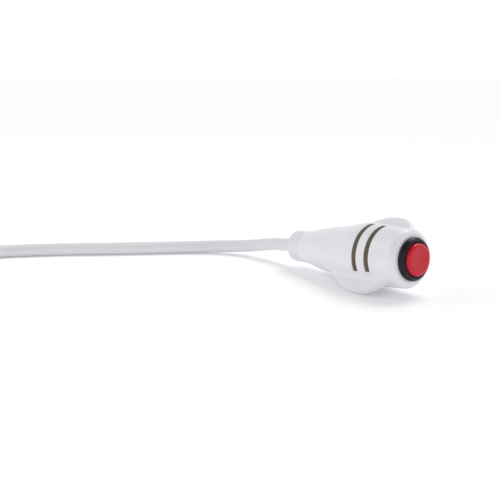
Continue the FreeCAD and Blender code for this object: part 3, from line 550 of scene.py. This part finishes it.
# %% The switch's bezel
ROUND_STEPS = 180
BEZEL_BACK = 0.6
BEZEL_FACE = 2.6
BEZEL_RADIUS = 9.5
BUTTON_HOLE = 7.35
BUTTON_SHELF = -1.5
BUSHING_REAR = -12.5
BUSHING_RADIUS = 8.0
CASE_REAR = -22.5
CASE_RADIUS = 7.0
CASE_HOLLOW = 5.6
LEDGE = -10.0
LEDGE_REAR = -11.2
PLUNGER_HOLE = 2.1
housing_outline = softened([
    (BEZEL_BACK, BEZEL_RADIUS, 0.12), (1.5, BEZEL_RADIUS, 0.35), (BEZEL_FACE, 8.5, 0.4),
    (BEZEL_FACE, 7.45, 0.25), (2.2, BUTTON_HOLE, 0), (BUTTON_SHELF, BUTTON_HOLE, 0.2),
    (BUTTON_SHELF, CASE_HOLLOW, 0.2), (LEDGE, CASE_HOLLOW, 0), (LEDGE, PLUNGER_HOLE, 0),
    (LEDGE_REAR, PLUNGER_HOLE, 0), (LEDGE_REAR, CASE_HOLLOW, 0), (CASE_REAR, CASE_HOLLOW, 0),
    (CASE_REAR, CASE_RADIUS, 0.3), (BUSHING_REAR, CASE_RADIUS, 0), (BUSHING_REAR, BUSHING_RADIUS, 0.3),
    (BEZEL_BACK, BUSHING_RADIUS, 0)])
make_piece("switch_bezel", *skin(in_handle(turned(housing_outline, ROUND_STEPS)), tyre=True), "handset",
           "bezel_black", "switch_housing")

# %% The red button
CAP_FACE = 4.2
CAP_BACK = 0.9
CAP_RADIUS = 7.1
CAP_FLAT = 5.4
CAP_ROUND = 1.5
FACE_DISH = 0.22
DISH_CENTRE = 0.25
DISH_STEPS = 16
SKIRT_REAR = -6.0
SKIRT_RADIUS = 5.45
SKIRT_HOLLOW = 4.6
SPRING_TOP = -1.0
dish_radius = np.linspace(CAP_FLAT, DISH_CENTRE, DISH_STEPS)
dish_outline = np.stack((CAP_FACE - FACE_DISH * (1 - (dish_radius / CAP_FLAT) ** 2) ** 2, dish_radius), -1)
cap_outline = np.concatenate((softened([
    (SPRING_TOP, 0.3, 0), (SPRING_TOP, SKIRT_HOLLOW, 0.2), (SKIRT_REAR, SKIRT_HOLLOW, 0),
    (SKIRT_REAR, SKIRT_RADIUS, 0.3), (CAP_BACK, SKIRT_RADIUS, 0.15), (CAP_BACK, CAP_RADIUS, 0.25),
    (CAP_FACE, CAP_RADIUS, CAP_ROUND), (CAP_FACE, 5.5, 0)], 12), dish_outline))
make_piece("button_cap", *skin(in_handle(turned(cap_outline, ROUND_STEPS))), "button", "button_red",
           "push_button")

# %% [markdown]
# ## The return spring
#
# A coil spring inside the housing pushes the button back. One end stands on the housing's ledge and the
# other follows the button, so riding on one body isn't enough. It is a wire carried along a helix that
# rides on the handset, and it keeps its shape through the button's 2 mm of travel.

# %% The return spring
SPRING_RADIUS = 3.4
WIRE_RADIUS = 0.3
SPRING_TURNS = 5
SPRING_STEPS = 241
WIRE_STEPS = 14


def return_spring():
    """Centre (x, R cos t, R sin t), with x rising evenly, and round it a circle across the wire."""
    turn = np.linspace(0, SPRING_TURNS * math.tau, SPRING_STEPS)
    x = np.linspace(LEDGE + WIRE_RADIUS, SPRING_TOP - WIRE_RADIUS, SPRING_STEPS)
    radial = np.stack((0 * turn, np.cos(turn), np.sin(turn)), -1)
    centre = np.column_stack((x, SPRING_RADIUS * radial[:, 1:]))
    ahead = np.gradient(centre, axis=0)
    across = np.cross(ahead / np.linalg.norm(ahead, axis=1)[:, None], radial)
    angle = np.arange(WIRE_STEPS)[None, :, None] * math.tau / WIRE_STEPS
    return centre[:, None] + WIRE_RADIUS * (np.cos(angle) * radial[:, None] + np.sin(angle) * across[:, None])


spring = make_piece("button_spring", *skin(in_handle(return_spring())), "handset", "spring_steel",
                    "return_spring")
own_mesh(spring)

# %% [markdown]
# ## The collar
#
# A short white collar closes the rear of the handle and guides the cord. It is a softer plastic than the
# shell, with a big rounding at its rear edge and a small lip round the cord, and a fine joint line shows
# where it meets the shell.

# %% The collar
COLLAR_FRONT = -65.02
COLLAR_REAR = -74.0
COLLAR_RADIUS = 7.66
CORD_HOLE = 3.26
NECK_RADIUS = 5.0
FLANGE_FRONT = -59.0
FLANGE_REAR = -61.0
FLANGE_RADIUS = 6.3
collar_outline = softened([
    (COLLAR_FRONT, COLLAR_RADIUS, 0.22), (COLLAR_REAR, COLLAR_RADIUS, 3.0), (COLLAR_REAR, CORD_HOLE, 0.45),
    (FLANGE_FRONT, CORD_HOLE, 0), (FLANGE_FRONT, FLANGE_RADIUS, 0.2), (FLANGE_REAR, FLANGE_RADIUS, 0),
    (FLANGE_REAR, NECK_RADIUS, 0), (COLLAR_FRONT, NECK_RADIUS, 0)], 10)
make_piece("rear_collar", *skin(in_handle(turned(collar_outline)), tyre=True), "handset", "collar_white",
           "cord_collar")

# %% [markdown]
# ## The plug's strain relief and grip
#
# The plug is moulded on the cord: a tapered strain relief whose slots let it bend, and a grip with flat
# flutes for the fingers. Both are turned forms whose radius changes: along the length for the slots, and
# round the axis for the flutes.

# %% The plug's strain relief
relief_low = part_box("plug_relief")[0]
grip_low, grip_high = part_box("plug_grip")
PLUG_REAR = np.array((relief_low.x, middle("plug_relief")[1], middle("plug_relief")[2]))
GRIP_START = (grip_low.x - relief_low.x) / MM
GRIP_END = (grip_high.x - relief_low.x) / MM
RELIEF_REAR_RADIUS = 3.62
RELIEF_FRONT_RADIUS = 4.3
RELIEF_ROUND = 0.35
RELIEF_STEPS = 110
RELIEF_SIDES = 96
SLOT_MARGIN = 1.5
SLOTS = 5
SLOT_DEPTH = 0.55


def at_plug(grid):
    """Points in the plug's axes, in millimetres from the strain relief's rear, as points of the frame."""
    return PLUG_REAR + grid * MM


def relief():
    """r = taper minus a slot: the slots are the narrow peaks of a cosine wave raised to the third power."""
    x = np.concatenate(([0, 0.05, 0.15, RELIEF_ROUND], np.linspace(0.6, GRIP_START, RELIEF_STEPS)))
    taper = RELIEF_REAR_RADIUS + (RELIEF_FRONT_RADIUS - RELIEF_REAR_RADIUS) * x / GRIP_START
    taper -= 0.3 * np.clip(1 - x / RELIEF_ROUND, 0, 1) ** 2
    part = np.clip((x - SLOT_MARGIN) / (GRIP_START - 2 * SLOT_MARGIN), 0, 1)
    wave = (0.5 - 0.5 * np.cos(math.tau * SLOTS * part)) ** 3
    return turned(np.stack((x, taper - SLOT_DEPTH * wave), -1), RELIEF_SIDES)


make_piece("plug_strain_relief", *skin(at_plug(relief())), "handset", "plug_grip_white", "plug_relief")

# %% The plug's grip
GRIP_RADIUS = 5.6
GRIP_STEPS = 70
FLUTES = 18
FLUTE_SIDES = 10
FLUTE_DEPTH = 0.28
FLUTE_MARGIN = 4
FLUTE_FADE = 1.5


def grip():
    """r = an outline with rounded ends minus flutes, which fade out before the two ends."""
    outline = softened([(GRIP_START, RELIEF_FRONT_RADIUS, 0), (GRIP_START, GRIP_RADIUS, 0.8),
                        (GRIP_END, GRIP_RADIUS, 1.2), (GRIP_END, 4.4, 0)], 12)
    middle_x = np.linspace(GRIP_START + 0.9, GRIP_END - 1.3, GRIP_STEPS)
    between = np.stack((middle_x, np.full(GRIP_STEPS, GRIP_RADIUS)), -1)
    cut = len(outline) // 2
    grid = turned(np.vstack((outline[:cut], between, outline[cut:])), FLUTES * FLUTE_SIDES)
    x, angle = grid[..., 0], np.arctan2(grid[..., 2], grid[..., 1])
    fade = step_up((x - GRIP_START - FLUTE_MARGIN) / FLUTE_FADE)
    fade *= step_up((GRIP_END - FLUTE_MARGIN - x) / FLUTE_FADE)
    flute = (0.5 - 0.5 * np.cos(FLUTES * angle)) ** 2
    grid[..., 1:] *= 1 - (FLUTE_DEPTH / GRIP_RADIUS * fade * flute)[..., None]
    return grid


make_piece("plug_handle", *skin(at_plug(grip())), "handset", "plug_grip_white", "plug_grip")

# %% [markdown]
# ## The coil's strap
#
# A hook-and-loop strap holds the coil together: under it, up both sides and over the top, with its end
# pressed down on itself. A flat strap is modelled directly. Its path is a rounded box round the bundle
# that spirals outwards by one thickness where the end laps over, and its section is a thin bar with
# soft edges.

# %% The coil's strap
BUNDLE_INNER = 25.2
BUNDLE_OUTER = 50.8
BUNDLE_TOP = 13.6
STRAP_HALF_WIDTH = 4.0
STRAP_ROUND = 0.25
STRAP_START = math.radians(120)
STRAP_TURNS = 1.16
STRAP_STEPS = 260
STRAP_POWER = 5.0
LAP_RISE = 1.04 * STRAP_THICK
LAP_SLOPE = 30
LAP_DELAY = 0.4
END_REACH = 0.01
END_SLIM = 0.9


def strap():
    """A thin rounded bar along a superelliptic ring, which opens outwards by one thickness at its lap."""
    half_wide = (BUNDLE_OUTER - BUNDLE_INNER) / 2 + STRAP_THICK / 2
    half_high = BUNDLE_TOP / 2
    turn = np.linspace(0, STRAP_TURNS, STRAP_STEPS)
    angle = STRAP_START - math.tau * turn
    out = LAP_RISE * step_up((turn - 1) * LAP_SLOPE - LAP_DELAY)
    power = 2 / STRAP_POWER
    bend = np.stack((np.sign(np.cos(angle)) * np.abs(np.cos(angle)) ** power * (half_wide + out),
                     np.sign(np.sin(angle)) * np.abs(np.sin(angle)) ** power * (half_high + out)), -1)
    ahead = np.gradient(bend, axis=0)
    ahead /= np.linalg.norm(ahead, axis=1)[:, None]
    outwards = np.stack((-ahead[:, 1], ahead[:, 0]), -1)
    outwards *= np.sign((outwards * bend).sum(1))[:, None]
    to_end = np.minimum(turn, turn[-1] - turn) / END_REACH
    slim = np.sqrt(1 - np.clip(1 - to_end, 0, END_SLIM) ** 2)
    ways = ((-1, -1), (1, -1), (1, 1), (-1, 1))
    section = softened([(a * STRAP_HALF_WIDTH, b * STRAP_THICK / 2, STRAP_ROUND) for a, b in ways], 5)
    radial = bend[:, None, 0] + section[None, :, 1] * outwards[:, None, 0]
    upward = bend[:, None, 1] + section[None, :, 1] * outwards[:, None, 1]
    sideways = section[None, :, 0] * slim[:, None]
    centre = (BUNDLE_INNER + BUNDLE_OUTER) / 2
    reach = centre + radial
    height = np.maximum(upward + half_high + STRAP_THICK / 2, 0)
    x = COIL_CENTRE[0] + reach * math.cos(TIE_ANGLE) - sideways * math.sin(TIE_ANGLE)
    y = COIL_CENTRE[1] + reach * math.sin(TIE_ANGLE) + sideways * math.cos(TIE_ANGLE)
    return np.stack((x, y, height), -1) * MM


make_piece("coil_strap", *skin(strap()), "handset", "tie_grey", "coil_tie")

# %% [markdown]
# ## Effects that several finishes share
#
# Four effects are used in more than one finish, so each is a group of shader nodes with named inputs, and
# every material places it with its own values. All of them read Object coordinates, which are metres in
# the frame, so a grain keeps its real size on every piece.
#
# - Moulded grain: the very fine pebbling that a spark-eroded mould leaves, over a slow waviness from
#   shrinkage. It gives a height.
# - Handling: smudges and faint rubbed streaks that change how glossy the surface is. It gives a mask.
# - Drift: two close tones that wander into each other, because no plastic is one flat colour.
# - Dust: a thin grey film that gathers on faces that look up. It gives a mask.

# %% Tools for groups of nodes
def new_group(name, inputs, outputs):
    """An empty node group with float or colour inputs and outputs, and its two end nodes."""
    group = bpy.data.node_groups.new(name, "ShaderNodeTree")
    for label, value in inputs.items():
        kind = "NodeSocketColor" if isinstance(value, tuple) else "NodeSocketFloat"
        group.interface.new_socket(label, in_out="INPUT", socket_type=kind).default_value = value
    for label, kind in outputs.items():
        group.interface.new_socket(label, in_out="OUTPUT", socket_type=kind)
    return group, group.nodes.new("NodeGroupInput"), group.nodes.new("NodeGroupOutput")


def plus(tree, kind, **settings):
    """A new node whose properties are set by name."""
    node = tree.nodes.new(kind)
    for key, value in settings.items():
        setattr(node, key, value)
    return node


def sums(tree, operation, first, second, third=None, clamp=False):
    """A Math node on sockets or plain numbers, and its result."""
    node = plus(tree, "ShaderNodeMath", operation=operation, use_clamp=clamp)
    for slot_number, value in enumerate(item for item in (first, second, third) if item is not None):
        if isinstance(value, bpy.types.NodeSocket):
            tree.links.new(value, node.inputs[slot_number])
        else:
            node.inputs[slot_number].default_value = value
    return node.outputs[0]


def noise(tree, scale, detail=2.0, stretch=None):
    """Noise on Object coordinates, optionally squeezed along an axis, and its value from 0 to 1."""
    place = plus(tree, "ShaderNodeTexCoord").outputs["Object"]
    if stretch:
        mapping = plus(tree, "ShaderNodeMapping")
        mapping.inputs["Scale"].default_value = stretch
        tree.links.new(place, mapping.inputs["Vector"])
        place = mapping.outputs[0]
    node = plus(tree, "ShaderNodeTexNoise")
    node.inputs["Detail"].default_value = detail
    tree.links.new(place, node.inputs["Vector"])
    if isinstance(scale, bpy.types.NodeSocket):
        tree.links.new(scale, node.inputs["Scale"])
    else:
        node.inputs["Scale"].default_value = scale
    return node.outputs["Fac"]


print("groups before the effects:", len(bpy.data.node_groups))

# %% Moulded grain and handling
PEBBLES = 2600.0
WAVES = 90.0
STREAKS = 420.0
STREAK_SQUEEZE = (1.0, 0.18, 0.5)


def grain_group():
    """Height = fine pebbling x Fine + slow waviness x Wave."""
    group, given, result = new_group("moulded_grain", {"Scale": PEBBLES, "Fine": 0.5, "Wave": 0.5},
                                     {"Height": "NodeSocketFloat"})
    fine = sums(group, "MULTIPLY", noise(group, given.outputs["Scale"], 3.0), given.outputs["Fine"])
    wave = sums(group, "MULTIPLY", noise(group, WAVES, 1.0), given.outputs["Wave"])
    group.links.new(sums(group, "ADD", fine, wave), result.inputs["Height"])
    return group


def handling_group():
    """Mask = broad smudges x fine rubbed streaks."""
    group, given, result = new_group("handling", {"Smudge Scale": 55.0, "Amount": 1.0},
                                     {"Mask": "NodeSocketFloat"})
    broad = sums(group, "SMOOTH_MIN", noise(group, given.outputs["Smudge Scale"], 4.0), 0.7, 0.2)
    streak = noise(group, STREAKS, 2.0, STREAK_SQUEEZE)
    both = sums(group, "MULTIPLY", broad, sums(group, "ADD", streak, 0.5))
    mask = sums(group, "MULTIPLY", both, given.outputs["Amount"], clamp=True)
    group.links.new(mask, result.inputs["Mask"])
    return group


EFFECTS = {"grain": grain_group(), "handling": handling_group()}
print("effects:", sorted(EFFECTS))

# %% Drift and dust
PATCHES = 160.0


def drift_group():
    """Colour = one tone blended into another by a slow noise."""
    inputs = {"Tone": (0.8, 0.8, 0.8, 1.0), "Other Tone": (0.7, 0.7, 0.7, 1.0), "Scale": 40.0}
    group, given, result = new_group("drift", inputs, {"Color": "NodeSocketColor"})
    mix = plus(group, "ShaderNodeMix", data_type="RGBA")
    group.links.new(noise(group, given.outputs["Scale"], 3.0), mix.inputs["Factor"])
    group.links.new(given.outputs["Tone"], mix.inputs["A"])
    group.links.new(given.outputs["Other Tone"], mix.inputs["B"])
    group.links.new(mix.outputs["Result"], result.inputs["Color"])
    return group


def dust_group():
    """Mask = how far a face looks up x a patchy noise x Amount."""
    group, given, result = new_group("dust", {"Amount": 0.2}, {"Mask": "NodeSocketFloat"})
    normal = plus(group, "ShaderNodeSeparateXYZ")
    group.links.new(plus(group, "ShaderNodeNewGeometry").outputs["Normal"], normal.inputs[0])
    upward = sums(group, "MULTIPLY_ADD", normal.outputs["Z"], 0.8, 0.1, clamp=True)
    patchy = sums(group, "MULTIPLY", upward, noise(group, PATCHES, 5.0))
    mask = sums(group, "MULTIPLY", patchy, given.outputs["Amount"], clamp=True)
    group.links.new(mask, result.inputs["Mask"])
    return group


EFFECTS.update(drift=drift_group(), dust=dust_group())
print("effects:", sorted(EFFECTS))

# %% [markdown]
# ## The finishes
#
# Each finish is a Principled shader fed by the effects: the drift gives its colour, the handling mask
# changes its roughness a little, and the grain bumps its normal. What is the same all over a surface,
# such as how strongly it shines or whether it is metal, is set on the shader's own socket. One function
# makes all the plastics and metals, and the two cells after it say how each differs.

# %% One finish from the effects
DUST_COLOUR = (0.36, 0.34, 0.31, 1.0)
FINISHES = {}


def effect(tree, name, **values):
    """A shared effect placed in a material, with its own values."""
    node = plus(tree, "ShaderNodeGroup", node_tree=EFFECTS[name])
    for label, value in values.items():
        node.inputs[label.replace("_", " ")].default_value = value
    return node


def finish(name, tone, other, roughness, spread=0.08, grain=PEBBLES, fine=0.5, wave=0.3, bump=0.02,
           dust=0.0, smudge=55.0, drift=40.0, **shader_values):
    """A material from the shared effects, kept in FINISHES. Its roughness moves by up to spread either way.

    The bump is in millimetres. What is left over goes to the shader's own sockets of those names.
    """
    material = bpy.data.materials.new(name)
    material.use_nodes = True
    tree = material.node_tree
    shader = tree.nodes["Principled BSDF"]
    for label, value in shader_values.items():
        shader.inputs[label.replace("_", " ")].default_value = value
    tones = effect(tree, "drift", Tone=(*tone, 1.0), Other_Tone=(*other, 1.0), Scale=drift)
    colour = tones.outputs["Color"]
    if dust:
        mix = plus(tree, "ShaderNodeMix", data_type="RGBA")
        tree.links.new(effect(tree, "dust", Amount=dust).outputs["Mask"], mix.inputs["Factor"])
        tree.links.new(colour, mix.inputs["A"])
        mix.inputs["B"].default_value = DUST_COLOUR
        colour = mix.outputs["Result"]
    tree.links.new(colour, shader.inputs["Base Color"])
    marks = effect(tree, "handling", Smudge_Scale=smudge).outputs["Mask"]
    rough = sums(tree, "MULTIPLY_ADD", marks, spread * 2, roughness - spread)
    tree.links.new(rough, shader.inputs["Roughness"])
    bumps = plus(tree, "ShaderNodeBump")
    bumps.inputs["Strength"].default_value = 1.0
    bumps.inputs["Distance"].default_value = bump * MM
    pebbles = effect(tree, "grain", Scale=grain, Fine=fine, Wave=wave)
    tree.links.new(pebbles.outputs["Height"], bumps.inputs["Height"])
    tree.links.new(bumps.outputs["Normal"], shader.inputs["Normal"])
    FINISHES[name] = material


print("a finish can use", sorted(EFFECTS))

# %% What shows
finish("shell_white", (0.805, 0.800, 0.830), (0.775, 0.770, 0.805),
       0.34, 0.05, grain=2300.0, fine=0.35, wave=0.9, bump=0.03, dust=0.05, smudge=60.0)
finish("collar_white", (0.765, 0.760, 0.795), (0.735, 0.730, 0.765),
       0.42, 0.05, grain=1900.0, bump=0.03, dust=0.08)
finish("cord_white", (0.765, 0.755, 0.780), (0.725, 0.715, 0.740),
       0.42, 0.07, grain=900.0, fine=0.6, wave=0.8, bump=0.05, dust=0.1, drift=25.0)
finish("plug_grip_white", (0.640, 0.635, 0.660), (0.600, 0.595, 0.620),
       0.48, 0.06, bump=0.04, dust=0.1)
finish("stripe_olive", (0.116, 0.094, 0.057), (0.098, 0.080, 0.047),
       0.55, 0.07, grain=1500.0, bump=0.05, Specular_IOR_Level=0.3)
finish("bezel_black", (0.0045, 0.0035, 0.0060), (0.0075, 0.0060, 0.0095),
       0.30, 0.07, grain=2100.0, bump=0.02, Specular_IOR_Level=0.26)
finish("button_red", (0.540, 0.0050, 0.020), (0.500, 0.0040, 0.017),
       0.18, 0.06, grain=2400.0, fine=0.3, wave=1.0, bump=0.02, Specular_IOR_Level=0.36)
print(len(FINISHES), "finishes so far")

# %% What is inside, and the plug
finish("gasket_black", (0.012, 0.012, 0.013), (0.018, 0.018, 0.019),
       0.70, 0.05, bump=0.05)
finish("screw_steel", (0.46, 0.46, 0.47), (0.40, 0.40, 0.41),
       0.30, 0.08, bump=0.01, Metallic=1.0)
finish("nut_steel", (0.52, 0.51, 0.49), (0.45, 0.44, 0.43),
       0.36, 0.08, bump=0.01, Metallic=1.0)
finish("spring_steel", (0.42, 0.42, 0.44), (0.36, 0.36, 0.38),
       0.25, 0.06, bump=0.01, Metallic=1.0)
finish("contact_brass", (0.72, 0.50, 0.22), (0.60, 0.40, 0.17),
       0.30, 0.09, bump=0.01, Metallic=1.0)
finish("plunger_nylon", (0.62, 0.60, 0.54), (0.57, 0.55, 0.49),
       0.45, 0.05, bump=0.03)
finish("base_black", (0.020, 0.018, 0.017), (0.028, 0.025, 0.023),
       0.50, 0.06, bump=0.04)
finish("sleeve_black", (0.014, 0.014, 0.015), (0.022, 0.022, 0.023),
       0.55, 0.05, bump=0.03)
finish("lead_red_pvc", (0.42, 0.02, 0.02), (0.36, 0.015, 0.015),
       0.40, 0.05, bump=0.03)
finish("lead_black_pvc", (0.015, 0.015, 0.016), (0.022, 0.022, 0.024),
       0.40, 0.05, bump=0.03)
finish("tie_grey", (0.230, 0.230, 0.240), (0.180, 0.180, 0.190),
       0.85, 0.05, grain=1300.0, fine=1.6, wave=0.3, bump=0.25, dust=0.1, Sheen_Weight=0.4)
finish("plug_nickel", (0.70, 0.68, 0.64), (0.64, 0.62, 0.58),
       0.16, 0.06, fine=0.2, bump=0.006, Metallic=1.0)
finish("insulator_black", (0.016, 0.016, 0.017), (0.024, 0.024, 0.025),
       0.38, 0.05)
print(len(FINISHES), "finishes")

# %% Dressing every piece
def dress(piece, slot_name):
    """Gives a piece its finish, in the slot that its mesh or curve already has, or in a new one."""
    if piece.data.materials:
        piece.material_slots[0].material = FINISHES[slot_name]
    else:
        piece.data.materials.append(FINISHES[slot_name])


for node in frame["nodes"].values():
    dress(node, node.data.materials[0].name.split(".")[0])
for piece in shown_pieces():
    if "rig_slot" in piece:
        dress(piece, piece["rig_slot"])
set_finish(cord, "cord_white")
dress(cord, "cord_white")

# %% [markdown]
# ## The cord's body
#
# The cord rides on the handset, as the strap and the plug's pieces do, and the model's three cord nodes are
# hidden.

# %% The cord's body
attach(cord, "handset")
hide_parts("cord_lead", "cord_coil", "cord_tail")

# %% [markdown]
# ## Table and light
#
# A white table and a wide soft sun above and behind the handle give the faint shadow that falls towards
# the viewer. The table glows a little, so that it stays white. The sky is bright at the horizon and dimmer
# overhead, so that no side of a white object goes grey while its top keeps its shape, and a card in front
# of the near side lights the button. The standard view transform keeps the whites clean.

# %% The table
bpy.context.scene.view_settings.view_transform = "Standard"
bpy.context.scene.view_settings.look = "None"
TABLE_HALF = 6.0
TABLE_COLOUR = (0.93, 0.93, 0.94, 1.0)
TABLE_GLOW = 0.12
table_corners = [(a * TABLE_HALF, b * TABLE_HALF, 0) for a, b in ((-1, -1), (1, -1), (1, 1), (-1, 1))]
table_mesh = bpy.data.meshes.new("table")
table_mesh.from_pydata(table_corners, [], [(0, 1, 2, 3)])
table = bpy.data.objects.new("table", table_mesh)
bpy.context.scene.collection.objects.link(table)
table_paint = bpy.data.materials.new("table_white")
table_paint.use_nodes = True
table_shader = table_paint.node_tree.nodes["Principled BSDF"]
table_shader.inputs["Base Color"].default_value = TABLE_COLOUR
table_shader.inputs["Roughness"].default_value = 0.9
table_shader.inputs["Specular IOR Level"].default_value = 0.1
table_shader.inputs["Emission Color"].default_value = (1.0, 1.0, 1.0, 1.0)
table_shader.inputs["Emission Strength"].default_value = TABLE_GLOW
table_mesh.materials.append(table_paint)
print("the table is", 2 * TABLE_HALF, "m across")

# %% The sky
SKY_COLOUR = (0.985, 0.985, 1.0, 1.0)
HORIZON_STRENGTH = 1.02
ZENITH_STRENGTH = 0.32
FADE_START = 0.25
FADE_END = 0.85
sky = bpy.data.worlds.new("sky")
bpy.context.scene.world = sky
sky.use_nodes = True
sky_tree = sky.node_tree
background = sky_tree.nodes["Background"]
background.inputs["Color"].default_value = SKY_COLOUR
height = plus(sky_tree, "ShaderNodeSeparateXYZ")
sky_tree.links.new(plus(sky_tree, "ShaderNodeTexCoord").outputs["Generated"], height.inputs[0])
fade = plus(sky_tree, "ShaderNodeMapRange", interpolation_type="SMOOTHSTEP")
fade.inputs["From Min"].default_value = FADE_START
fade.inputs["From Max"].default_value = FADE_END
fade.inputs["To Min"].default_value = HORIZON_STRENGTH
fade.inputs["To Max"].default_value = ZENITH_STRENGTH
sky_tree.links.new(height.outputs["Z"], fade.inputs["Value"])
sky_tree.links.new(fade.outputs["Result"], background.inputs["Strength"])
print("sky from", HORIZON_STRENGTH, "at the horizon to", ZENITH_STRENGTH, "overhead")

# %% The lights
HANDLE_MIDDLE = (0.0, 0.0, 0.015)
SUN_PLACE = (-0.05, 0.37, 0.62)
SUN_STRENGTH = 1.40
SUN_WIDTH = math.radians(38)
CARD_PLACE = (-0.42, -0.42, 0.46)
CARD_SIZE = 0.40
CARD_POWER = 0.8


def aim(lamp, place, target):
    """Puts a lamp at a place and turns it to face a point."""
    lamp.location = place
    lamp.rotation_euler = (Vector(target) - Vector(place)).to_track_quat("-Z", "Y").to_euler()
    bpy.context.scene.collection.objects.link(lamp)


overhead = bpy.data.lights.new("overhead", "SUN")
overhead.energy = SUN_STRENGTH
overhead.angle = SUN_WIDTH
aim(bpy.data.objects.new("overhead", overhead), SUN_PLACE, HANDLE_MIDDLE)
front_card = bpy.data.lights.new("front_card", "AREA")
front_card.size = CARD_SIZE
front_card.energy = CARD_POWER
aim(bpy.data.objects.new("front_card", front_card), CARD_PLACE, HANDLE_MIDDLE)
print("lights: overhead and front_card")
